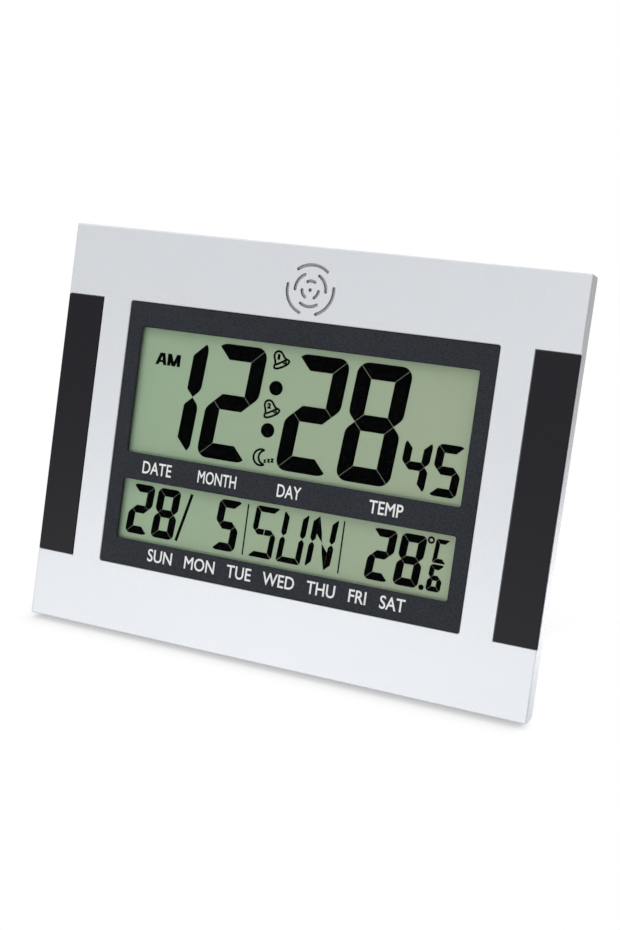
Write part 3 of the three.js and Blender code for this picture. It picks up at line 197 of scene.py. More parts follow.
# %% Moulded plastic
PLASTIC_IOR = 1.54
PATCH_MM = 25
PITS = (0.35, 0.65)
GRAIN_SHARE = 0.6
GLOSS_SPREAD = 0.08


def moulded(name, tone, shade, roughness, grain_mm, depth_mm, shine=0.5):
    """Matt to satin plastic: a mottled tone and a fine eroded grain."""
    material, tree, shader, place = new_material(name)
    patches = add(tree, "ShaderNodeTexNoise", {"Vector": place, "Scale": per_mm(PATCH_MM), "Detail": 3})
    grain = add(tree, "ShaderNodeTexNoise", {"Vector": place, "Scale": per_mm(grain_mm), "Detail": 2})
    pits = add(tree, "ShaderNodeMapRange", {"Value": grain, "From Min": PITS[0], "From Max": PITS[1]})
    mottle = add(tree, "ShaderNodeMixRGB", {"Fac": GRAIN_SHARE, "Color1": patches, "Color2": pits})
    colour = add(tree, "ShaderNodeMixRGB", {"Fac": mottle, "Color1": linear(tone), "Color2": linear(shade)})
    gloss = add(tree, "ShaderNodeMapRange", {
        "Value": grain, "To Min": roughness - GLOSS_SPREAD, "To Max": roughness + GLOSS_SPREAD,
    })
    relief = add(tree, "ShaderNodeBump", {"Height": grain, "Distance": depth_mm * MM})
    wire(tree, shader, {
        "Base Color": colour, "Roughness": gloss, "Normal": relief, "IOR": PLASTIC_IOR,
        "Specular IOR Level": shine,
    })
    return material


# Spark-eroded charcoal ABS round the display. Real grain is near 0.1 mm and is drawn coarser to show.
charcoal_abs = moulded(
    "eroded_charcoal_abs", "2E3239", "101318", 0.55, grain_mm=0.7, depth_mm=0.03, shine=0.15,
)
# Satin black film on a styrene strip: smooth, nearly black, with a broad soft reflection.
black_inlay = moulded("satin_black_inlay", "13121A", "0D0C13", 0.38, grain_mm=0.3, depth_mm=0.003, shine=0.15)
# Textured dark grey ABS of the rear cover, stand and battery door.
grey_abs = moulded("textured_grey_abs", "54565B", "484A4F", 0.6, grain_mm=0.6, depth_mm=0.03)
# Natural, uncoloured ABS of the parts that stay inside.
natural_abs = moulded("natural_abs", "D9D8D0", "CBC9BF", 0.55, grain_mm=0.5, depth_mm=0.008)
# Silicone keys: matt, a little lighter than the cover.
key_silicone = moulded("moulded_silicone", "66696F", "585B61", 0.7, grain_mm=0.35, depth_mm=0.008)
# Black phenolic of the tact switches and the speaker basket.
black_phenolic = moulded("black_phenolic", "2A2B2D", "1E1F21", 0.5, grain_mm=0.3, depth_mm=0.005)
# PVC sleeves of the leads: smooth and slightly glossy.
red_pvc = moulded("red_pvc_sleeve", "A8231F", "8E1B19", 0.42, grain_mm=0.3, depth_mm=0.002)
black_pvc = moulded("black_pvc_sleeve", "1F1F20", "161617", 0.42, grain_mm=0.3, depth_mm=0.002)
print("moulded plastics ready")

# %% [markdown]
# ## Sprayed silver
# The front shell is not bare plastic: it is sprayed with silver lacquer, in which tiny aluminium flakes lie
# at slightly different angles. That gives a pale, partly metallic tone with a faint sparkle, under a thin
# clear coat. A Voronoi texture stands for the flakes, because each of its cells has its own random value.
# The gun points at the face, so on the sides and in the slots of the grille the lacquer is thin. The place of
# a point along the way out of the face tells how much of it has settled there. Where it is thin, the sides
# show bare grey plastic, and the walls of the grille's slots are painted near black as shade.

# %% Silver lacquer
# Flakes are about 0.03 mm across. They are drawn ten times coarser so that they show.
FLAKE_MM = 0.3
FLAKE_DEPTH_MM = 0.002
MIST_MM = 60
silver_lacquer, tree, shader, place = new_material("sprayed_silver_abs")
flakes = add(tree, "ShaderNodeTexVoronoi", {"Vector": place, "Scale": per_mm(FLAKE_MM)}).outputs["Color"]
mist = add(tree, "ShaderNodeTexNoise", {"Vector": place, "Scale": per_mm(MIST_MM), "Detail": 2})
flake_tone = add(tree, "ShaderNodeMixRGB", {
    "Fac": flakes, "Color1": linear("C9CCD1"), "Color2": linear("D8DADE"),
})
silver_tone = add(tree, "ShaderNodeMixRGB", {"Fac": mist, "Color1": flake_tone, "Color2": linear("D4D7DB")})
flake_gloss = add(tree, "ShaderNodeMapRange", {"Value": flakes, "To Min": 0.36, "To Max": 0.48})
flake_relief = add(tree, "ShaderNodeBump", {"Height": flakes, "Distance": FLAKE_DEPTH_MM * MM})
print("flakes every", FLAKE_MM, "mm")

# %% Where the spray lands, and painted shade in the grille's slots
# Lacquer is full down to the first depth behind the face and gone at the second. Grey plastic shows on the
# sides, and on the walls of the grille's slots a near-black painted shade stands in for the shade inside
# them.
SPRAY_MM = (0.15, 0.5)
METAL_SHARE = 0.35
depth = add(tree, "ShaderNodeVectorMath", {0: place, 1: OUT}, operation="DOT_PRODUCT").outputs["Value"]
settled = add(tree, "ShaderNodeMapRange", {
    "Value": depth, "From Min": FACE - SPRAY_MM[1] * MM, "From Max": FACE - SPRAY_MM[0] * MM,
})
# The grille's round area, where the slot walls get painted shade instead of bare plastic.
low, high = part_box("grille_cloth")
from_grille = add(tree, "ShaderNodeVectorMath", {0: place, 1: (low + high) / 2}, operation="DISTANCE")
slot_shade_mask = add(tree, "ShaderNodeMath", {
    0: from_grille.outputs["Value"], 1: (high.x - low.x) / 2,
}, operation="LESS_THAN")
# Bare grey plastic for the sides; near black as painted shade for the walls of the grille's slots.
bare_plastic_and_slot_shade = add(tree, "ShaderNodeMixRGB", {
    "Fac": slot_shade_mask, "Color1": linear("A5A8AD"), "Color2": linear("141518"),
})
shell_tone = add(tree, "ShaderNodeMixRGB", {"Fac": settled, "Color1": bare_plastic_and_slot_shade, "Color2": silver_tone})
metal = add(tree, "ShaderNodeMath", {0: settled, 1: METAL_SHARE}, operation="MULTIPLY")
wire(tree, shader, {
    "Base Color": shell_tone, "Roughness": flake_gloss, "Normal": flake_relief, "Metallic": metal,
    "Coat Weight": 0.15, "Coat Roughness": 0.3,
})
print("silver lacquer ready")

# %% [markdown]
# ## Display glass and window
# The display is two sheets of glass with liquid crystal between them and a polariser on the front. Over its
# reflector it looks green-grey, a little greener on the left. In front of it lies a clear acrylic sheet. A
# refracting material would darken the display behind it, so the sheet is mostly transparent and keeps only
# a faint gloss.

# %% Liquid crystal, ink and acrylic
DISPLAY_HALF = reach("lcd_glass", ACROSS)[1]
# The reflector behind the glass has a grain of about 0.2 mm, drawn at 0.5 mm.
FLECK_MM = 0.5
lcd_glass, tree, shader, place = new_material("polarised_lcd_glass")
across = add(tree, "ShaderNodeSeparateXYZ", {"Vector": place}).outputs["X"]
fade = add(tree, "ShaderNodeMapRange", {"Value": across, "From Min": -DISPLAY_HALF, "From Max": DISPLAY_HALF})
tint = add(tree, "ShaderNodeMixRGB", {"Fac": fade, "Color1": linear("A7C1A1"), "Color2": linear("B3C3A5")})
speckle = add(tree, "ShaderNodeTexNoise", {"Vector": place, "Scale": per_mm(FLECK_MM), "Detail": 1})
fleck = add(tree, "ShaderNodeMapRange", {"Value": speckle, "To Min": 0.94, "To Max": 1.06})
display_tone = add(tree, "ShaderNodeMixRGB", {
    "Fac": 1, "Color1": tint, "Color2": fleck,
}, blend_type="MULTIPLY")
wire(tree, shader, {"Base Color": display_tone, "Roughness": 0.4, "IOR": 1.5, "Specular IOR Level": 0.2})

# Figures are cells of crystal that block the light. They lie inside the glass, so they have no gloss.
crystal = moulded("dark_liquid_crystal", "040405", "020202", 0.6, grain_mm=0.5, depth_mm=0.001, shine=0)
# Screen-printed enamel ink: off-white and matt, with the mesh of the screen as its grain.
white_ink = moulded("white_screen_ink", "F0F2F1", "E3E6E5", 0.6, grain_mm=0.25, depth_mm=0.004)
grey_ink = moulded("grey_screen_ink", "B4B7BA", "A6A9AC", 0.6, grain_mm=0.25, depth_mm=0.004)

SMEAR_MM = 30
acrylic, tree, shader, place = new_material("clear_acrylic")
smears = add(tree, "ShaderNodeTexNoise", {"Vector": place, "Scale": per_mm(SMEAR_MM), "Detail": 4})
smear_gloss = add(tree, "ShaderNodeMapRange", {"Value": smears, "To Min": 0.03, "To Max": 0.09})
wire(tree, shader, {
    "Base Color": linear("1E2220"), "Roughness": smear_gloss, "IOR": 1.49, "Specular IOR Level": 0.1,
    "Alpha": 0.05,
})
print("display materials ready")

# %% [markdown]
# ## Metals and electronics
# Screws, contacts and the hinge pin are zinc-plated or nickel-plated steel, so they share one metal with fine
# drawing marks. Circuit boards are glass-epoxy under green solder mask, where copper tracks show as paler
# lines. Two sets of wave bands, of which random zones pick one, are enough to read as tracks.

# %% Plated steel and circuit board
# Drawing marks run along x, 2 mm long and 0.3 mm wide. Real ones are finer and would not show.
MARK_MM = 2
MARK_STRETCH = (1, 6, 6)
plated_steel, tree, shader, place = new_material("zinc_plated_steel")
stretch = add(tree, "ShaderNodeMapping", {"Vector": place, "Scale": MARK_STRETCH})
marks = add(tree, "ShaderNodeTexNoise", {"Vector": stretch, "Scale": per_mm(MARK_MM), "Detail": 4})
metal_tone = add(tree, "ShaderNodeMixRGB", {
    "Fac": marks, "Color1": linear("B9BCC0"), "Color2": linear("D3D5D7"),
})
metal_gloss = add(tree, "ShaderNodeMapRange", {"Value": marks, "To Min": 0.22, "To Max": 0.4})
wire(tree, shader, {"Base Color": metal_tone, "Roughness": metal_gloss, "Metallic": 1})

TRACK_PITCH_MM = 1.6
TRACK_ZONE_MM = 9
TRACK_LEVEL = 0.62
TRACK_DEPTH_MM = 0.02
circuit_board, tree, shader, place = new_material("solder_masked_board")
upright = add(tree, "ShaderNodeMapping", {"Vector": place, "Rotation": (-math.asin(OUT.z), 0, 0)})
runs = [
    add(tree, "ShaderNodeTexWave", {
        "Vector": upright, "Scale": per_mm(TRACK_PITCH_MM) / math.tau,
    }, bands_direction=way).outputs["Fac"]
    for way in ("X", "Z")
]
zones = add(tree, "ShaderNodeTexVoronoi", {"Vector": upright, "Scale": per_mm(TRACK_ZONE_MM)})
turn = add(tree, "ShaderNodeMath", {0: zones.outputs["Color"], 1: 0.5}, operation="GREATER_THAN")
tracks = add(tree, "ShaderNodeMixRGB", {"Fac": turn, "Color1": runs[0], "Color2": runs[1]})
copper = add(tree, "ShaderNodeMath", {0: tracks, 1: TRACK_LEVEL}, operation="GREATER_THAN")
mask_tone = add(tree, "ShaderNodeMixRGB", {
    "Fac": copper, "Color1": linear("1F5A34"), "Color2": linear("3C8550"),
})
mask_relief = add(tree, "ShaderNodeBump", {"Height": copper, "Distance": TRACK_DEPTH_MM * MM})
wire(tree, shader, {"Base Color": mask_tone, "Roughness": 0.32, "Normal": mask_relief})
print("metal and board ready")

# %% [markdown]
# ## Small finishes inside
# The rubber connector between glass and board is a stack of black conducting and pale insulating layers, and
# the ribbon cable is a row of grey wires. Both are bands along x. The AA cells wear a printed sleeve with a
# coppery band at the plus end and bare steel at both ends.

# %% Rubber connector, ribbon, cell sleeve
BAND_DEPTH_MM = 0.1


def banded(name, pitch_mm, first, second, roughness):
    """Bands along x of two tones, with a soft edge between them."""
    material, tree, shader, place = new_material(name)
    bands = add(tree, "ShaderNodeTexWave", {
        "Vector": place, "Scale": per_mm(pitch_mm) / math.tau, "Distortion": 0.2,
    }, bands_direction="X").outputs["Fac"]
    tone = add(tree, "ShaderNodeMixRGB", {"Fac": bands, "Color1": linear(first), "Color2": linear(second)})
    relief = add(tree, "ShaderNodeBump", {"Height": bands, "Distance": BAND_DEPTH_MM * MM})
    wire(tree, shader, {"Base Color": tone, "Roughness": roughness, "Normal": relief})
    return material


# Layers are about 0.1 mm thick in the real strip and are drawn at 0.6 mm.
layered_rubber = banded("layered_silicone", 0.6, "2A2829", "D9CFC9", 0.75)
ribbon_pvc = banded("ribbon_pvc", 1.27, "9FA4A9", "C9CDD1", 0.45)

# Share of a cell's length, from its minus end, at which each tone of its surface starts.
CELL_BANDS = ((0, "C3C6C9"), (0.02, "4A5560"), (0.74, "B07A4E"), (0.955, "C3C6C9"))
SCUFF_MM = 3


def cell_sleeve(node, coil):
    """Printed steel sleeve of an AA cell, whose minus end rests on a coil contact."""
    material, tree, shader, place = new_material(node + "_sleeve")
    low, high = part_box(node)
    coil_side = sum(corner.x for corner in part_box(coil)) - low.x - high.x
    minus, plus = (low.x, high.x) if coil_side < 0 else (high.x, low.x)
    along = add(tree, "ShaderNodeSeparateXYZ", {"Vector": place}).outputs["X"]
    share = add(tree, "ShaderNodeMapRange", {"Value": along, "From Min": minus, "From Max": plus})
    sleeve = add(tree, "ShaderNodeValToRGB", {"Fac": share})
    ramp = sleeve.color_ramp
    ramp.interpolation = "CONSTANT"
    ramp.elements.remove(ramp.elements[1])
    for start, tone in CELL_BANDS:
        stop = ramp.elements[0] if start == 0 else ramp.elements.new(start)
        stop.color = linear(tone)
    scuffs = add(tree, "ShaderNodeTexNoise", {"Vector": place, "Scale": per_mm(SCUFF_MM), "Detail": 4})
    gloss = add(tree, "ShaderNodeMapRange", {"Value": scuffs, "To Min": 0.2, "To Max": 0.4})
    wire(tree, shader, {"Base Color": sleeve, "Roughness": gloss, "Metallic": 0.6})
    return material


# Black epoxy over the chip: glossy and a little wavy. Ferrite: a pressed, sintered grey ceramic.
epoxy = moulded("black_potting_epoxy", "1A1A1B", "111112", 0.22, grain_mm=3, depth_mm=0.05)
ferrite = moulded("sintered_ferrite", "4B4B4D", "39393B", 0.65, grain_mm=0.4, depth_mm=0.03)
# Dipped sensor bead, pressed speaker cone, felted cloth and the pale sheet behind the glass.
sensor_epoxy = moulded("blue_dipped_epoxy", "2F66AF", "27569A", 0.35, grain_mm=1, depth_mm=0.01)
pet_film = moulded("pressed_pet_film", "303338", "25272B", 0.3, grain_mm=1.5, depth_mm=0.02)
dust_cloth = moulded("non_woven_dust_cloth", "D9DBDC", "C6C9CB", 0.9, grain_mm=0.4, depth_mm=0.08, shine=0.1)
white_film = moulded("white_reflector_film", "D2D7CC", "C4CABD", 0.35, grain_mm=0.8, depth_mm=0.01)
print("inner finishes ready")

# %% [markdown]
# ## Pieces with softened edges
# A CAD solid has knife edges, but a moulded part never does: its edges are broken by about 0.2 mm, and that
# thin line of light is what makes plastic look real. A Bevel modifier would do it on a clean mesh. The nodes
# are loose triangles, so each copy is first welded and its flat triangles are joined into faces, then only
# the hard edges that show are rounded. Weighted normals keep the large faces flat in the shading.

# %% Softening
WELD = 0.002 * MM
FLAT = math.radians(0.5)
HARD = math.radians(40)
SMOOTH = math.radians(35)


def depth_of(point):
    """How far a point in the world lies in front of the face, in millimetres."""
    return (point.dot(OUT) - FACE) / MM


def softened(node, edge_mm, shows):
    """Copy a CAD node as a welded mesh. Its hard edges at the depths that show are rounded by edge_mm."""
    shape = bmesh.new()
    shape.from_mesh(NODES[node].data)
    bmesh.ops.remove_doubles(shape, verts=shape.verts[:], dist=WELD)
    bmesh.ops.dissolve_limit(shape, angle_limit=FLAT, verts=shape.verts[:], edges=shape.edges[:])
    if edge_mm > 0:
        hard = [
            edge for edge in shape.edges
            if edge.calc_face_angle(0) > HARD and all(shows(depth_of(end.co)) for end in edge.verts)
        ]
        bmesh.ops.bevel(
            shape, geom=hard, offset=edge_mm * MM, offset_type="OFFSET", segments=2, profile=0.5,
            affect="EDGES", clamp_overlap=True,
        )
    mesh = bpy.data.meshes.new(node + "_shape")
    shape.to_mesh(mesh)
    shape.free()
    mesh.shade_smooth()
    mesh.set_sharp_from_angle(angle=SMOOTH)
    return mesh


def piece(name, mesh, body, slot, material, *nodes):
    """Put a finished mesh into the scene as a piece that rides on a CAD body and may replace nodes."""
    thing = new_object(name, mesh)
    mesh.materials.clear()
    mesh.materials.append(material)
    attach(thing, body)
    if nodes:
        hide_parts(*nodes)
    return thing


def soft_piece(node, body, slot, material, edge_mm=0, shows=lambda at: True):
    """Replace a CAD node by its smooth copy, with softened edges if a size is given for them."""
    thing = piece(node + "_moulding", softened(node, edge_mm, shows), body, slot, material, node)
    weights = thing.modifiers.new("even_faces", "WEIGHTED_NORMAL")
    weights.keep_sharp = True
    print(thing.name, len(thing.data.polygons), "faces")


print("edges over", round(math.degrees(HARD)), "degrees count as hard")

# %% Front and back mouldings
# Softened edges are given in millimetres. They show in front of the first depth on the bezel, and behind the
# other two on the back.
BEZEL_SHOWS = -2
COVER_SHOWS = -24.6
DOOR_SHOWS = -24.7
KEYS = ("mode", "set", "up", "down", "alarm")
soft_piece("front_frame", "clock_body", "silver_abs", silver_lacquer)
soft_piece("display_bezel", "clock_body", "charcoal_abs", charcoal_abs, 0.2, lambda at: at > BEZEL_SHOWS)
for side in ("left", "right"):
    soft_piece("side_strip_" + side, "clock_body", "black_strip", black_inlay, 0.2)
soft_piece("rear_cover", "clock_body", "housing_abs", grey_abs, 0.25, lambda at: at < COVER_SHOWS)
soft_piece("stand_leg", "stand", "housing_abs", grey_abs, 0.35)
soft_piece("battery_door", "door", "housing_abs", grey_abs, 0.25, lambda at: at < DOOR_SHOWS)
for key in KEYS:
    soft_piece(key + "_key", key + "_button", "key_rubber", key_silicone)

# %% [markdown]
# ## Figures of the display
# A segment figure is drawn with up to seven bars, called a to g, which meet in mitred corners with a hair of
# light between them. The outlines could be traced, but they follow a rule: a box, a stroke width, a rounded
# outer corner and a gap. Three bars are drawn, and the others are their mirror images. All figures lean a
# little, so their points are sheared at the end.

# %% Bars of a figure
# Width, height, stroke, gap and corner of the figures of the time, in millimetres.
TIME_SIZE = (26.9, 56.3, 7.6, 0.17, 5.6)
CORNER_STEPS = 5


def bar_outlines(width, height, stroke, gap, corner):
    """Outline of each bar of a figure, counter-clockwise, in millimetres from its lower left corner."""
    middle = height / 2
    slip = gap / math.sqrt(2)
    split = gap / (2 * corner)

    def arc(start, stop):
        angles = [start + (stop - start) * step / CORNER_STEPS for step in range(CORNER_STEPS + 1)]
        return [(corner - corner * math.cos(a), height - corner + corner * math.sin(a)) for a in angles]

    def mirror(outline, sideways, upside_down):
        flipped = [(width - x if sideways else x, height - y if upside_down else y) for x, y in outline]
        return flipped if sideways == upside_down else flipped[::-1]

    tip = middle + slip
    shoulder = tip + stroke / 2
    turn = stroke / 4
    eased = [(x * turn, shoulder + y * turn) for x, y in ((0, 1), (0.18, 0.07), (0.71, -0.71))]
    side_arc = arc(math.pi / 4 - split, 0)
    inner_end = (stroke, height - stroke - slip)
    upper_left = side_arc + eased + [(stroke / 2, tip), (stroke, shoulder), inner_end]
    long_left = side_arc + mirror(side_arc, False, True) + [(stroke, stroke + slip), inner_end]
    half_top = arc(math.pi / 2, math.pi / 4 + split) + [(stroke + slip, height - stroke)]
    top = half_top + mirror(half_top, True, False)
    half_bar = [(stroke + slip, middle + away) for away in (stroke / 2, -stroke / 2)]
    half_bar.insert(1, (stroke / 2 + slip, middle))
    return {
        "a": top,
        "b": mirror(upper_left, True, False),
        "c": mirror(upper_left, True, True),
        "d": mirror(top, False, True),
        "e": mirror(upper_left, False, True),
        "f": upper_left,
        "g": half_bar + mirror(half_bar, True, False),
        "long": long_left,
    }


print("corner of bar f", [round(value, 2) for value in bar_outlines(*TIME_SIZE)["f"][0]])

# %% [markdown]
# ## Plates and lines
# On the real display a figure is a patch of electrode with no thickness that the eye can see. Here each one
# is a closed plate 0.06 mm thick that rests on the glass, so it has an outside from every angle. Round marks
# and thin rules need two more shapes: a disc, and a line of even width through a list of points.

# %% Plate, disc and line
def add_plate(shape, outline, back, front):
    """Add a closed plate with a convex outline, listed counter-clockwise."""
    low = [shape.verts.new((x, y, back)) for x, y in outline]
    high = [shape.verts.new((x, y, front)) for x, y in outline]
    shape.faces.new(high)
    shape.faces.new(low[::-1])
    for here in range(len(outline)):
        after = (here + 1) % len(outline)
        shape.faces.new((low[here], low[after], high[after], high[here]))


def ring_points(x, y, radius, steps=32, start=0, stop=math.tau):
    """Points round a circle, or along a part of it, counter-clockwise."""
    count = steps if stop - start == math.tau else steps + 1
    angles = [start + (stop - start) * step / steps for step in range(count)]
    return [(x + radius * math.cos(a), y + radius * math.sin(a)) for a in angles]


def add_line(shape, points, width, back, front, closed=False):
    """Add a flat line of even width through points, mitred at its bends."""
    spots = [Vector(point) for point in points]
    count = len(spots)
    rims = []
    for here, spot in enumerate(spots):
        before = spots[here - 1] if closed or here > 0 else None
        after = spots[(here + 1) % count] if closed or here < count - 1 else None
        ways = [way.normalized() for way in (before and spot - before, after and after - spot) if way]
        along = sum(ways, Vector((0, 0))).normalized()
        side = Vector((-along.y, along.x)) * (width / 2 / max(along.dot(ways[0]), 0.5))
        right, left = spot - side, spot + side
        corners = ((right, back), (left, back), (left, front), (right, front))
        rims.append([shape.verts.new((*corner, level)) for corner, level in corners])
    for here in range(count if closed else count - 1):
        first, second = rims[here], rims[(here + 1) % count]
        for corner in range(4):
            after = (corner + 1) % 4
            shape.faces.new((first[corner], first[after], second[after], second[corner]))
    if not closed:
        shape.faces.new(rims[0][::-1])
        shape.faces.new(rims[-1])


def finished_mesh(shape, name, place):
    """Close a mesh under construction, point its faces outwards and put it in its place."""
    bmesh.ops.recalc_face_normals(shape, faces=shape.faces[:])
    mesh = bpy.data.meshes.new(name)
    shape.to_mesh(mesh)
    shape.free()
    mesh.transform(place)
    return mesh


GLASS = (reach("lcd_glass", OUT)[1] - FACE) / MM
INK = 0.06
LAYER = (GLASS, GLASS + INK)
print("glass lies", round(-GLASS, 2), "mm behind the face")

# %% [markdown]
# ## Time, date and temperature
# Sizes and places of the figures were measured on the photograph after its perspective was taken out. Each
# group of figures is one piece, as each is one field of the display.

# %% Signs made of bars
SLANT = math.tan(math.radians(4.45))
# Bars that are dark for each sign.
BARS = {
    "1": "bc", "2": "abged", "4": "fgbc", "5": "afgcd", "6": "afgedc", "8": "abcdefg",
    "S": "afgcd", "U": "fedcb", "N": "eb", "C": ("a", "long", "d"),
}
# Light between the wedge of the letter N and its upright, then the wedge's corners as shares of its box.
HAIR = 0.05
WEDGE_FOOT = 0.66
WEDGE_TIP = 0.51
WEDGE_BEND = 0.7


def halves(bar, gap):
    """Outlines of the left and right half of a middle bar, as letters have it."""
    middle = (min(x for x, y in bar) + max(x for x, y in bar)) / 2
    low, high = min(y for x, y in bar), max(y for x, y in bar)
    left = [point for point in bar if point[0] < middle] + [(middle - gap, low), (middle - gap, high)]
    return [left, [(2 * middle - x, y) for x, y in left[::-1]]]


def half_of_n(outlines, width, height, stroke):
    """Upper left half of the letter N: an upright bar, and a wedge that slants from its top to the middle."""
    upright = [(0, height - stroke)] + outlines["f"][CORNER_STEPS + 1:-1] + [(stroke, height)]
    start = stroke + HAIR
    run = width / 2 - stroke
    wedge = [(start, height), (start, WEDGE_FOOT * height)]
    wedge += [(stroke + run, WEDGE_TIP * height), (stroke + WEDGE_BEND * run, WEDGE_BEND * height)]
    return [upright, wedge]


def add_figure(shape, sign, left, base, size):
    """Add a leaning segment figure whose lower left corner is at left and base."""
    width, height, stroke, gap, corner = size
    outlines = bar_outlines(width, height, stroke, gap, corner)
    patches = [outlines[bar] for bar in BARS[sign]]
    if sign == "S":
        patches.remove(outlines["g"])
        patches += halves(outlines["g"], gap)
    if sign == "N":
        half = half_of_n(outlines, width, height, stroke)
        patches += half + [[(width - x, height - y) for x, y in outline] for outline in half]
    for outline in patches:
        leaning = [(left + x + y * SLANT, base + y) for x, y in outline]
        add_plate(shape, leaning, *LAYER)


def figures(size, base, *places):
    """Start a field of the display. Each place is a sign and the left edge of its figure."""
    shape = bmesh.new()
    for sign, left in places:
        add_figure(shape, sign, left, base, size)
    return shape


def display_field(name, shape):
    """Finish a field of the display as a piece."""
    piece(name, finished_mesh(shape, name, ON_FACE), "clock_body", "lcd_glass", crystal)
    print(name, "done")


print(len(BARS), "signs can be made")

# %% Upper window
# Places are in panel millimetres. Every size lists the same five measures as that of the time.
SECONDS_SIZE = (13.3, 24.1, 3.9, 0.13, 2.8)
UPPER_BASE = -6.63
COLON = ((-12.12, 31.68), (-13.54, 11.14))
COLON_RADIUS = 3.5
field = figures(TIME_SIZE, UPPER_BASE, ("1", -80.8), ("2", -49.7), ("2", -7.4), ("8", 23.6))
for x, y in COLON:
    add_plate(field, ring_points(x, y, COLON_RADIUS), *LAYER)
display_field("time_figures", field)
display_field("second_figures", figures(SECONDS_SIZE, UPPER_BASE, ("4", 53.9), ("5", 69.3)))

# %% Lower window: date and weekday
LOWER_BASE = -50.06
DATE_SIZE = (12.5, 25, 3.9, 0.13, 2.8)
SLASH = ((-54.7, -49.7), (-48.8, -25.7))
SLASH_LINE = 1.5
field = figures(DATE_SIZE, LOWER_BASE, ("2", -83.55), ("8", -69.12), ("5", -35.4))
add_line(field, SLASH, SLASH_LINE, *LAYER)
display_field("date_figures", field)

WEEKDAY_SIZE = (12.6, 25, 2.8, 0.2, 1.6)
RULES = (-18.24, 31.55)
RULE_ENDS = (-50.2, -25.4)
RULE_LINE = 0.7
field = figures(WEEKDAY_SIZE, LOWER_BASE, ("S", -15.64), ("U", -0.72), ("N", 14.37))
for x in RULES:
    add_line(field, [(x, y) for y in RULE_ENDS], RULE_LINE, *LAYER)
display_field("weekday_figures", field)

# %% Lower window: temperature
WARMTH_SIZE = (12.2, 24.5, 3.8, 0.13, 2.7)
TENTH_SIZE = (6.9, 12.6, 2.4, 0.1, 1.6)
UNIT_SIZE = (6.6, 11.1, 2.1, 0.12, 0.9)
UNIT_BASE = -36.8
# Middle and radius of the decimal point and of the sign for degrees.
POINT = (72.55, -49.1, 1.3)
DEGREE = (74.3, -26.8, 1.25)
DEGREE_LINE = 0.9
field = figures(WARMTH_SIZE, LOWER_BASE, ("2", 44.21), ("8", 58.46))
add_figure(field, "6", 74.56, LOWER_BASE, TENTH_SIZE)
add_figure(field, "C", 75.9, UNIT_BASE, UNIT_SIZE)
add_plate(field, ring_points(*POINT), *LAYER)
add_line(field, ring_points(*DEGREE), DEGREE_LINE, *LAYER, closed=True)
display_field("temperature_figures", field)

# %% [markdown]
# ## Words
# Words come from Blender's own font. A text object is a curve, so it is made a mesh first, then stretched to
# the box that the printed word fills, and only then put in its place on the face. Bolder words get a narrow
# bevel, because the offset setting of a text turns the sharp notch of the letter M inside out.

# %% Lettering
def mesh_from(thing):
    """Finished mesh of an object, which is then taken out of the scene."""
    mesh = bpy.data.meshes.new_from_object(thing.evaluated_get(bpy.context.evaluated_depsgraph_get()))
    bpy.data.objects.remove(thing)
    return mesh


def add_words(shape, words, left, right, base, cap, back, front, weight):
    """Add words as thin plates of a cap height. They fill the width from left to right, or end at right."""
    text = bpy.data.curves.new("words", "FONT")
    text.body = words
    text.bevel_depth = weight
    text.bevel_resolution = 0
    text.extrude = 0.5
    text.resolution_u = 4
    mesh = mesh_from(new_object("words", text))
    low = [min(point.co[axis] for point in mesh.vertices) for axis in range(3)]
    high = [max(point.co[axis] for point in mesh.vertices) for axis in range(3)]
    if left is None:
        left = right - (high[0] - low[0]) * cap / (high[1] - low[1])
    stretch = [size / (top - foot) for size, foot, top in zip((right - left, cap, front - back), low, high)]
    to_zero = Matrix.Translation([-foot for foot in low])
    mesh.transform(Matrix.Translation((left, base, back)) @ Matrix.Diagonal((*stretch, 1)) @ to_zero)
    shape.from_mesh(mesh)
    bpy.data.meshes.remove(mesh)
    bmesh.ops.remove_doubles(shape, verts=shape.verts[:], dist=WELD / MM)


BEZEL = (reach("display_bezel", OUT)[1] - FACE) / MM
PRINT = 0.04
BEZEL_LAYER = (BEZEL, BEZEL + PRINT)
LEGEND_WEIGHT = 0.012
LEGEND_BASE = -19.17
LEGEND_CAP = 6.17
WEEK_BASE = -62
WEEK_CAP = 6.3
legend = bmesh.new()
LEGENDS = (("DATE", -76.33, -60.3), ("MONTH", -45.67, -25), ("DAY", -3.33, 9), ("TEMP", 43.33, 60))
for words, left, right in LEGENDS:
    add_words(legend, words, left, right, LEGEND_BASE, LEGEND_CAP, *BEZEL_LAYER, LEGEND_WEIGHT)
WEEK = "   ".join(("SUN", "MON", "TUE", "WED", "THU", "FRI", "SAT"))
add_words(legend, WEEK, -67.5, 67.2, WEEK_BASE, WEEK_CAP, *BEZEL_LAYER, LEGEND_WEIGHT)
legend_mesh = finished_mesh(legend, "frame_legends", ON_FACE)
piece("frame_legends", legend_mesh, "clock_body", "charcoal_abs", white_ink)
print("legends printed")

# %% [markdown]
# ## Marks on the back
# Nothing on the back is in the photograph, but keys without names would be of no use. Their plain names are
# printed beside the recess of the keys, and an arrow on the battery door shows which way it slides.

# %% Key names and door arrow
NAME_CAP = 2.6
NAME_GAP = 8
into_back = ON_BACK.inverted()


def back_box(node):
    """Lowest and highest corner of a CAD node in millimetres on the back."""
    spots = [into_back @ point.co for point in NODES[node].data.vertices]
    return [Vector([pick(spot[axis] for spot in spots) for axis in range(3)]) for pick in (min, max)]


names = bmesh.new()
for key in KEYS:
    low, high = back_box(key + "_key")
    base = (low.y + high.y - NAME_CAP) / 2
    add_words(names, key.upper(), None, low.x - NAME_GAP, base, NAME_CAP, 0, PRINT, LEGEND_WEIGHT)
piece("key_names", finished_mesh(names, "key_names", ON_BACK), "clock_body", "housing_abs", grey_ink)

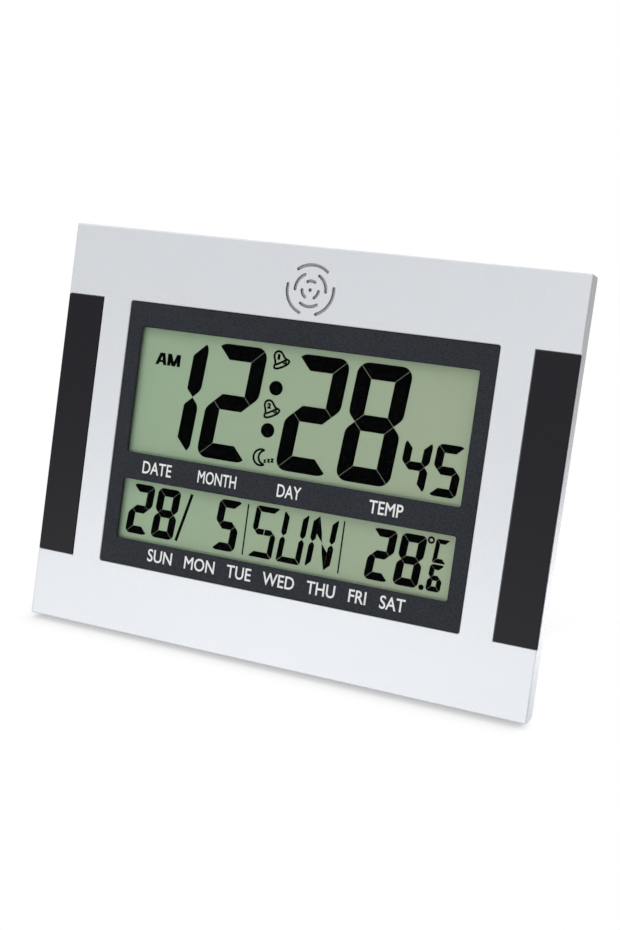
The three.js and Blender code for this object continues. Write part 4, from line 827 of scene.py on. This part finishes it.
ARROW = ((-3.2, 0), (2.2, -2.6), (2.2, 2.6))
low, high = back_box("battery_door")
middle = (low + high) / 2
arrow = bmesh.new()
add_plate(arrow, [(middle.x + x, middle.y + y) for x, y in ARROW], high.z, high.z + PRINT)
piece("door_arrow", finished_mesh(arrow, "door_arrow", ON_BACK), "door", "housing_abs", grey_ink)
print("marks on the back done")

# %% [markdown]
# ## Small marks of the display
# Beside the colon are two alarm bells, numbered 1 and 2, and a mark for the snooze. They are drawn in lines
# 1 mm wide. The bell is half an outline and its mirror image; the snooze mark is a plain crescent with three
# letters z. The letters of the morning mark are made of slanted strokes, which are cut level at the foot and
# the top.

# %% Alarm bells
MARK_LINE = 1
MARK_WEIGHT = 0.08
BELL_TILT = Matrix.Rotation(math.radians(28), 2)
HALF_BELL = (
    (0, 4.3), (1.0, 4.1), (1.9, 3.3), (2.3, 2.0), (2.5, 0.4), (3.0, -0.8), (3.9, -1.6), (4.15, -2.4),
    (3.35, -3.15), (1.7, -3.5), (0, -3.6),
)
BELL_MOUTH = ((-3.0, -1.3), (3.0, -1.3))
CLAPPER = (1.85, -1.8, 0.75, 12)
CLAPPER_LINE = 0.8
NUMBER_LEFT = 0.8
NUMBER_CAP = 2.8


def add_bell(shape, x, y, number, width):
    """Add a tilted bell with its clapper, and a number of a given width."""
    def placed(points):
        return [Vector((x, y)) + BELL_TILT @ Vector(point) for point in points]

    outline = HALF_BELL + tuple((-across, up) for across, up in HALF_BELL[-2:0:-1])
    add_line(shape, placed(outline), MARK_LINE, *LAYER, closed=True)
    add_line(shape, placed(BELL_MOUTH), MARK_LINE, *LAYER)
    add_line(shape, placed(ring_points(*CLAPPER)), CLAPPER_LINE, *LAYER, closed=True)
    left = x - NUMBER_LEFT - width / 2
    add_words(shape, number, left, left + width, y, NUMBER_CAP, *LAYER, MARK_WEIGHT)


field = bmesh.new()
add_bell(field, -11.9, 45.25, "1", 1.3)
add_bell(field, -13.6, 21.5, "2", 2)
display_field("alarm_bells", field)

# %% Crescent and morning mark
# Both arcs of the crescent, then the left edge, the foot and the size of each letter z.
CRESCENT = (
    (-15.2, -2.15, 3.85, 28, math.radians(66), math.radians(304)),
    (-13.0, -1.95, 3.4, 20, math.radians(102), math.radians(268)),
)
SLEEP = ((-13.75, -4.5, 1.7), (-11.95, -4.15, 1.85), (-10.15, -3.8, 2))
field = bmesh.new()
for arc in CRESCENT:
    add_line(field, ring_points(*arc), MARK_LINE, *LAYER)
for left, foot, size in SLEEP:
    add_words(field, "z", left, left + size, foot, size, *LAYER, MARK_WEIGHT)
display_field("snooze_mark", field)

# Place across of the foot and the top of each stroke of the morning mark, and the corners of its crossbar.
STROKES = (
    (-77.35, -75.15), (-72.95, -74.25), (-70.8, -70.8), (-68.35, -70.5), (-68.15, -65.8), (-65.5, -65.5),
)
CROSSBAR = ((-76.7, 36.4), (-73.4, 36.4), (-73.4, 37.5), (-76.7, 37.5))
STROKE_FOOT = 35.15
STROKE_TOP = 41.05
STROKE_HALF = 0.9
field = bmesh.new()
for foot, top in STROKES:
    ends = [(foot - STROKE_HALF, STROKE_FOOT), (foot + STROKE_HALF, STROKE_FOOT)]
    ends += [(top + STROKE_HALF, STROKE_TOP), (top - STROKE_HALF, STROKE_TOP)]
    add_plate(field, ends, *LAYER)
add_plate(field, CROSSBAR, *LAYER)
display_field("morning_mark", field)

# %% [markdown]
# ## Screws
# Sixteen pan-head screws of two sizes hold the clock together. They are alike, so Geometry Nodes make one
# from its sizes and set it on every seat. One Boolean joins the head, a short cylinder under a cone, to the
# shaft, another joins two blades to a cross, and a third cuts that cross out of the head. Another way would
# be to copy a mesh, but then a change of size would mean a new mesh.

# %% Node tree of a screw
SCREW_INPUTS = ("Head radius", "Head height", "Shaft radius", "Shaft length", "Recess width", "Recess depth")
HEAD_SIDES = 32
SHAFT_SIDES = 20
# Sizes that are a share of an input. Half of a blade stands above the head, so its share of the depth is two.
SCREW_SHARES = {
    "rim height": ("Head height", 0.45),
    "crown height": ("Head height", 0.55),
    "crown top": ("Head radius", 0.68),
    "blade span": ("Head radius", 1.15),
    "blade height": ("Recess depth", 2),
    "shaft tip": ("Shaft radius", 0.75),
    "shaft drop": ("Shaft length", -0.99),
}


def screw_tree():
    """Geometry Nodes tree that sets a cross-recessed screw on every point, its head along Axis."""
    tree = bpy.data.node_groups.new("pan_head_screws", "GeometryNodeTree")
    kinds = {"Geometry": "Geometry", **dict.fromkeys(SCREW_INPUTS, "Float")}
    kinds.update({"Axis": "Vector", "Finish": "Material"})
    for name, kind in kinds.items():
        tree.interface.new_socket(name, in_out="INPUT", socket_type="NodeSocket" + kind)
    tree.interface.new_socket("Geometry", in_out="OUTPUT", socket_type="NodeSocketGeometry")
    given = add(tree, "NodeGroupInput").outputs
    sizes = {}
    for name, (source, share) in SCREW_SHARES.items():
        sizes[name] = add(tree, "ShaderNodeMath", {0: given[source], 1: share}, operation="MULTIPLY")
    rim = add(tree, "GeometryNodeMeshCone", {
        "Vertices": HEAD_SIDES, "Radius Top": given["Head radius"], "Radius Bottom": given["Head radius"],
        "Depth": sizes["rim height"],
    })
    crown = add(tree, "GeometryNodeMeshCone", {
        "Vertices": HEAD_SIDES, "Radius Top": sizes["crown top"], "Radius Bottom": given["Head radius"],
        "Depth": sizes["crown height"],
    })
    shaft = add(tree, "GeometryNodeMeshCone", {
        "Vertices": SHAFT_SIDES, "Radius Top": given["Shaft radius"], "Radius Bottom": sizes["shaft tip"],
        "Depth": given["Shaft length"],
    })
    cross = add(tree, "GeometryNodeMeshBoolean", operation="UNION", solver="MANIFOLD")
    for wide, narrow in (("X", "Y"), ("Y", "X")):
        size = add(tree, "ShaderNodeCombineXYZ", {
            wide: sizes["blade span"], narrow: given["Recess width"], "Z": sizes["blade height"],
        })
        wire(tree, cross, {"Mesh 2": add(tree, "GeometryNodeMeshCube", {"Size": size})})
    heights = ((crown, sizes["rim height"]), (shaft, sizes["shaft drop"]), (cross, given["Head height"]))
    lifted = []
    for mesh, height in heights:
        spot = add(tree, "ShaderNodeCombineXYZ", {"Z": height})
        lifted.append(add(tree, "GeometryNodeTransform", {"Geometry": mesh, "Translation": spot}))
    crown, shaft, cross = lifted
    body = add(tree, "GeometryNodeMeshBoolean", operation="UNION", solver="MANIFOLD")
    for part in (rim, crown, shaft):
        wire(tree, body, {"Mesh 2": part})
    cut = add(tree, "GeometryNodeMeshBoolean", {
        "Mesh 1": body, "Mesh 2": cross,
    }, operation="DIFFERENCE", solver="MANIFOLD")
    facing = add(tree, "FunctionNodeAlignRotationToVector", {"Vector": given["Axis"]}, axis="Z")
    copies = add(tree, "GeometryNodeInstanceOnPoints", {
        "Points": given["Geometry"], "Instance": cut, "Rotation": facing,
    })
    whole = add(tree, "GeometryNodeRealizeInstances", {"Geometry": copies})
    dressed = add(tree, "GeometryNodeSetMaterial", {"Geometry": whole, "Material": given["Finish"]})
    add(tree, "NodeGroupOutput", {"Geometry": dressed})
    return tree


SCREWS = screw_tree()
print(len(SCREWS.nodes), "nodes in the screw tree")

# %% Screws on their seats
# Head radius, head height, shaft radius, recess width and recess depth of both sizes, in millimetres.
LARGE_SCREW = (2.8, 1.8, 1.1, 0.75, 1.0)
SMALL_SCREW = (2.2, 1.4, 0.9, 0.6, 0.8)
SCREW_SMOOTH = math.radians(30)


def set_screws(name, stem, count, sizes, axis):
    """Replace numbered CAD screws by detailed ones from the screw tree, with their heads along an axis."""
    nodes = ["%s_%d" % (stem, number) for number in range(1, count + 1)]
    head, tall, shaft, slot, deep = sizes
    tops = [reach(node, axis) for node in nodes]
    seats = []
    for node, (_, top) in zip(nodes, tops):
        low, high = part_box(node)
        centre = (low + high) / 2
        seats.append(centre + axis * (top - tall * MM - centre.dot(axis)))
    points = bpy.data.meshes.new(name)
    points.from_pydata(seats, [], [])
    maker = new_object(name, points)
    modifier = maker.modifiers.new("screws", "NODES")
    modifier.node_group = SCREWS
    length = (tops[0][1] - tops[0][0]) / MM - tall
    values = dict(zip(SCREW_INPUTS, [size * MM for size in (head, tall, shaft, length, slot, deep)]))
    values.update({"Axis": axis, "Finish": plated_steel})
    for socket in SCREWS.interface.items_tree:
        if socket.in_out == "INPUT" and socket.name in values:
            modifier[socket.identifier] = values[socket.name]
    mesh = mesh_from(maker)
    mesh.shade_smooth()
    mesh.set_sharp_from_angle(angle=SCREW_SMOOTH)
    piece(name, mesh, "clock_body", "steel", plated_steel, *nodes)
    print(name, len(nodes), "screws,", len(mesh.polygons), "faces")


set_screws("rear_screws", "case_screw", 6, LARGE_SCREW, -OUT)
set_screws("display_screws", "clamp_screw", 4, LARGE_SCREW, -OUT)
set_screws("main_board_screws", "board_screw", 4, SMALL_SCREW, -OUT)
set_screws("switch_board_screws", "key_board_screw", 2, SMALL_SCREW, OUT)

# %% [markdown]
# ## Parts inside
# The rest of the parts keep their CAD shape. Their loose triangles would show as facets on round parts, so
# each is copied, welded and shaded smooth, and takes the finish of its real material.

# %% Finishes of the inner parts
STEEL_PARTS = (
    "watch_crystal", "contact_positive", "contact_negative", "contact_link", "contact_coil_lower",
    "contact_coil_upper", "stand_hinge_pin",
)
INNER_PARTS = {
    "display_window": ("clear_acrylic", acrylic),
    "lcd_glass": ("lcd_glass", lcd_glass),
    "lcd_reflector": ("reflector", white_film),
    "display_clamp": ("inner_abs", natural_abs),
    "zebra_strip": ("elastomer", layered_rubber),
    "main_board": ("circuit_board", circuit_board),
    "key_board": ("circuit_board", circuit_board),
    "controller_blob": ("potting", epoxy),
    "temperature_sensor": ("sensor_bead", sensor_epoxy),
    "speaker_basket": ("speaker_plastic", black_phenolic),
    "grille_cloth": ("dust_cloth", dust_cloth),
    "speaker_cone": ("speaker_plastic", pet_film),
    "speaker_magnet": ("ferrite", ferrite),
    "battery_upper": ("cell_jacket", cell_sleeve("battery_upper", "contact_coil_upper")),
    "battery_lower": ("cell_jacket", cell_sleeve("battery_lower", "contact_coil_lower")),
    "speaker_lead_1": ("black_wire", black_pvc),
    "speaker_lead_2": ("red_wire", red_pvc),
    "battery_lead_positive": ("red_wire", red_pvc),
    "battery_lead_negative": ("black_wire", black_pvc),
    "key_ribbon": ("ribbon", ribbon_pvc),
}
for node in STEEL_PARTS:
    INNER_PARTS[node] = ("steel", plated_steel)
for key in KEYS:
    INNER_PARTS[key + "_switch"] = ("potting", black_phenolic)
for node, (slot, finish) in INNER_PARTS.items():
    soft_piece(node, "clock_body", slot, finish)

# %% [markdown]
# ## Studio
# The clock was photographed on white. A large floor carries it and keeps its shadow. Lamps and world give a
# plain level, at which a colour renders about as it is written. White behind the clock comes from the Light
# Path node: rays from the camera, mirror rays and rays through glass see a white world and a white floor,
# while the light that falls on the clock stays the same. Under the clock and close to it the floor keeps
# enough of its own shading to show the shadow. How far a point lies outside the clock's footprint decides
# that share; a ramp round the middle of the clock would give an oval instead.

# %% Floor
FLOOR_HALF = 6
CORNERS = ((-1, -1), (1, -1), (1, 1), (-1, 1))
floor_mesh = bpy.data.meshes.new("floor")
spots = [(x * FLOOR_HALF, y * FLOOR_HALF, cad_box[0].z) for x, y in CORNERS]
floor_mesh.from_pydata(spots, [], [(0, 1, 2, 3)])
floor = new_object("floor", floor_mesh)


def show_white(tree, share, plain, white, output):
    """Let camera, mirror and glass rays see this share of a white shader, and other rays the plain one."""
    path = add(tree, "ShaderNodeLightPath").outputs
    seen = path["Is Camera Ray"]
    for ray in ("Is Glossy Ray", "Is Transmission Ray"):
        seen = add(tree, "ShaderNodeMath", {0: seen, 1: path[ray]}, operation="MAXIMUM")
    part = add(tree, "ShaderNodeMath", {0: seen, 1: share}, operation="MULTIPLY")
    mix = add(tree, "ShaderNodeMixShader", {"Fac": part, 1: plain, 2: white})
    wire(tree, tree.nodes[output], {"Surface": mix})


print("floor at", round(cad_box[0].z, 4), "m")

# %% White paper with the shadow
# The edge of the shadow is narrow in front, where the clock touches the floor, and spreads towards the back.
SHADOW_MM = (-8, 9)
BACK_SPREAD = 3
LEAST_WHITE = 0.3
FIBRE_MM = 2
paper, tree, shader, place = new_material("white_paper_sweep")
fibre = add(tree, "ShaderNodeTexNoise", {"Vector": place, "Scale": per_mm(FIBRE_MM), "Detail": 2})
paper_tone = add(tree, "ShaderNodeMixRGB", {
    "Fac": fibre, "Color1": linear("F8F8F8"), "Color2": linear("FDFDFD"),
})
wire(tree, shader, {"Base Color": paper_tone, "Roughness": 0.9, "Specular IOR Level": 0})
glow = add(tree, "ShaderNodeEmission", {"Color": linear("FFFFFF"), "Strength": 1})
middle = [(low + high) / 2 for low, high in zip(*cad_box)]
half_foot = [(high - low) / 2 for low, high in zip(*cad_box)]
from_middle = add(tree, "ShaderNodeVectorMath", {0: place, 1: middle}, operation="SUBTRACT")
each_way = add(tree, "ShaderNodeVectorMath", {0: from_middle}, operation="ABSOLUTE")
beyond = add(tree, "ShaderNodeVectorMath", {0: each_way, 1: half_foot}, operation="SUBTRACT")
ways = add(tree, "ShaderNodeSeparateXYZ", {"Vector": beyond}).outputs
away = add(tree, "ShaderNodeMath", {0: ways["X"], 1: ways["Y"]}, operation="MAXIMUM")
along = add(tree, "ShaderNodeSeparateXYZ", {"Vector": place}).outputs["Y"]
spread = add(tree, "ShaderNodeMapRange", {
    "Value": along, "From Min": cad_box[0].y, "From Max": cad_box[1].y, "To Min": 1, "To Max": BACK_SPREAD,
})
eased = add(tree, "ShaderNodeMath", {0: away, 1: spread}, operation="DIVIDE")
white_share = add(tree, "ShaderNodeMapRange", {
    "Value": eased, "From Min": SHADOW_MM[0] * MM, "From Max": SHADOW_MM[1] * MM,
    "To Min": LEAST_WHITE, "To Max": 1,
}, interpolation_type="SMOOTHSTEP")
show_white(tree, white_share, shader, glow, "Material Output")
floor_mesh.materials.append(paper)
print("footprint", [round(2 * half, 4) for half in half_foot[:2]], "m")

# %% [markdown]
# ## Lamps
# A wide lamp above gives the even light of a photographer's tent, a smaller one on the left models the edges,
# and a low strip in front lights the lower part of the face, as in the photograph. A small card of light
# close to the right side keeps its lower end pale. One more lamp behind lets the back be seen.

# %% World and lamps
ROOM_LIGHT = 0.38
world = bpy.data.worlds.new("studio")
bpy.context.scene.world = world
world.use_nodes = True
tree = world.node_tree
room = tree.nodes["Background"]
wire(tree, room, {"Color": linear("FFFFFF"), "Strength": ROOM_LIGHT})
backdrop = add(tree, "ShaderNodeBackground", {"Color": linear("FFFFFF"), "Strength": 1})
show_white(tree, 1, room, backdrop, "World Output")


def soft_box(name, place, aim, width, height, power):
    """A studio lamp with a rectangular face, aimed at a point. Sizes are in metres and the power in watts."""
    light = bpy.data.lights.new(name, "AREA")
    light.shape = "RECTANGLE"
    light.size = width
    light.size_y = height
    light.energy = power
    lamp = new_object(name, light)
    lamp.location = place
    lamp.rotation_euler = (Vector(aim) - Vector(place)).to_track_quat("-Z", "Y").to_euler()


CLOCK_MIDDLE = (0, 0, 0.1)
soft_box("top_lamp", (0.1, 0.1, 1.5), CLOCK_MIDDLE, 1.2, 1.2, 6)
soft_box("key_lamp", (-0.6, -0.3, 1.1), CLOCK_MIDDLE, 0.4, 0.4, 2)
soft_box("front_fill", (0.2, -1.2, 0.85), CLOCK_MIDDLE, 0.6, 0.6, 1.3)
soft_box("low_strip", (-0.25, -0.9, 0.09), (0, -0.05, 0.02), 0.9, 0.2, 1.9)
soft_box("side_card", (0.19, 0.02, 0.035), (0.13, -0.01, 0.03), 0.05, 0.07, 0.1)
soft_box("back_fill", (-0.3, 1.1, 0.8), CLOCK_MIDDLE, 0.8, 0.8, 5)
bpy.context.scene.view_settings.view_transform = "Standard"
print("lamps set")
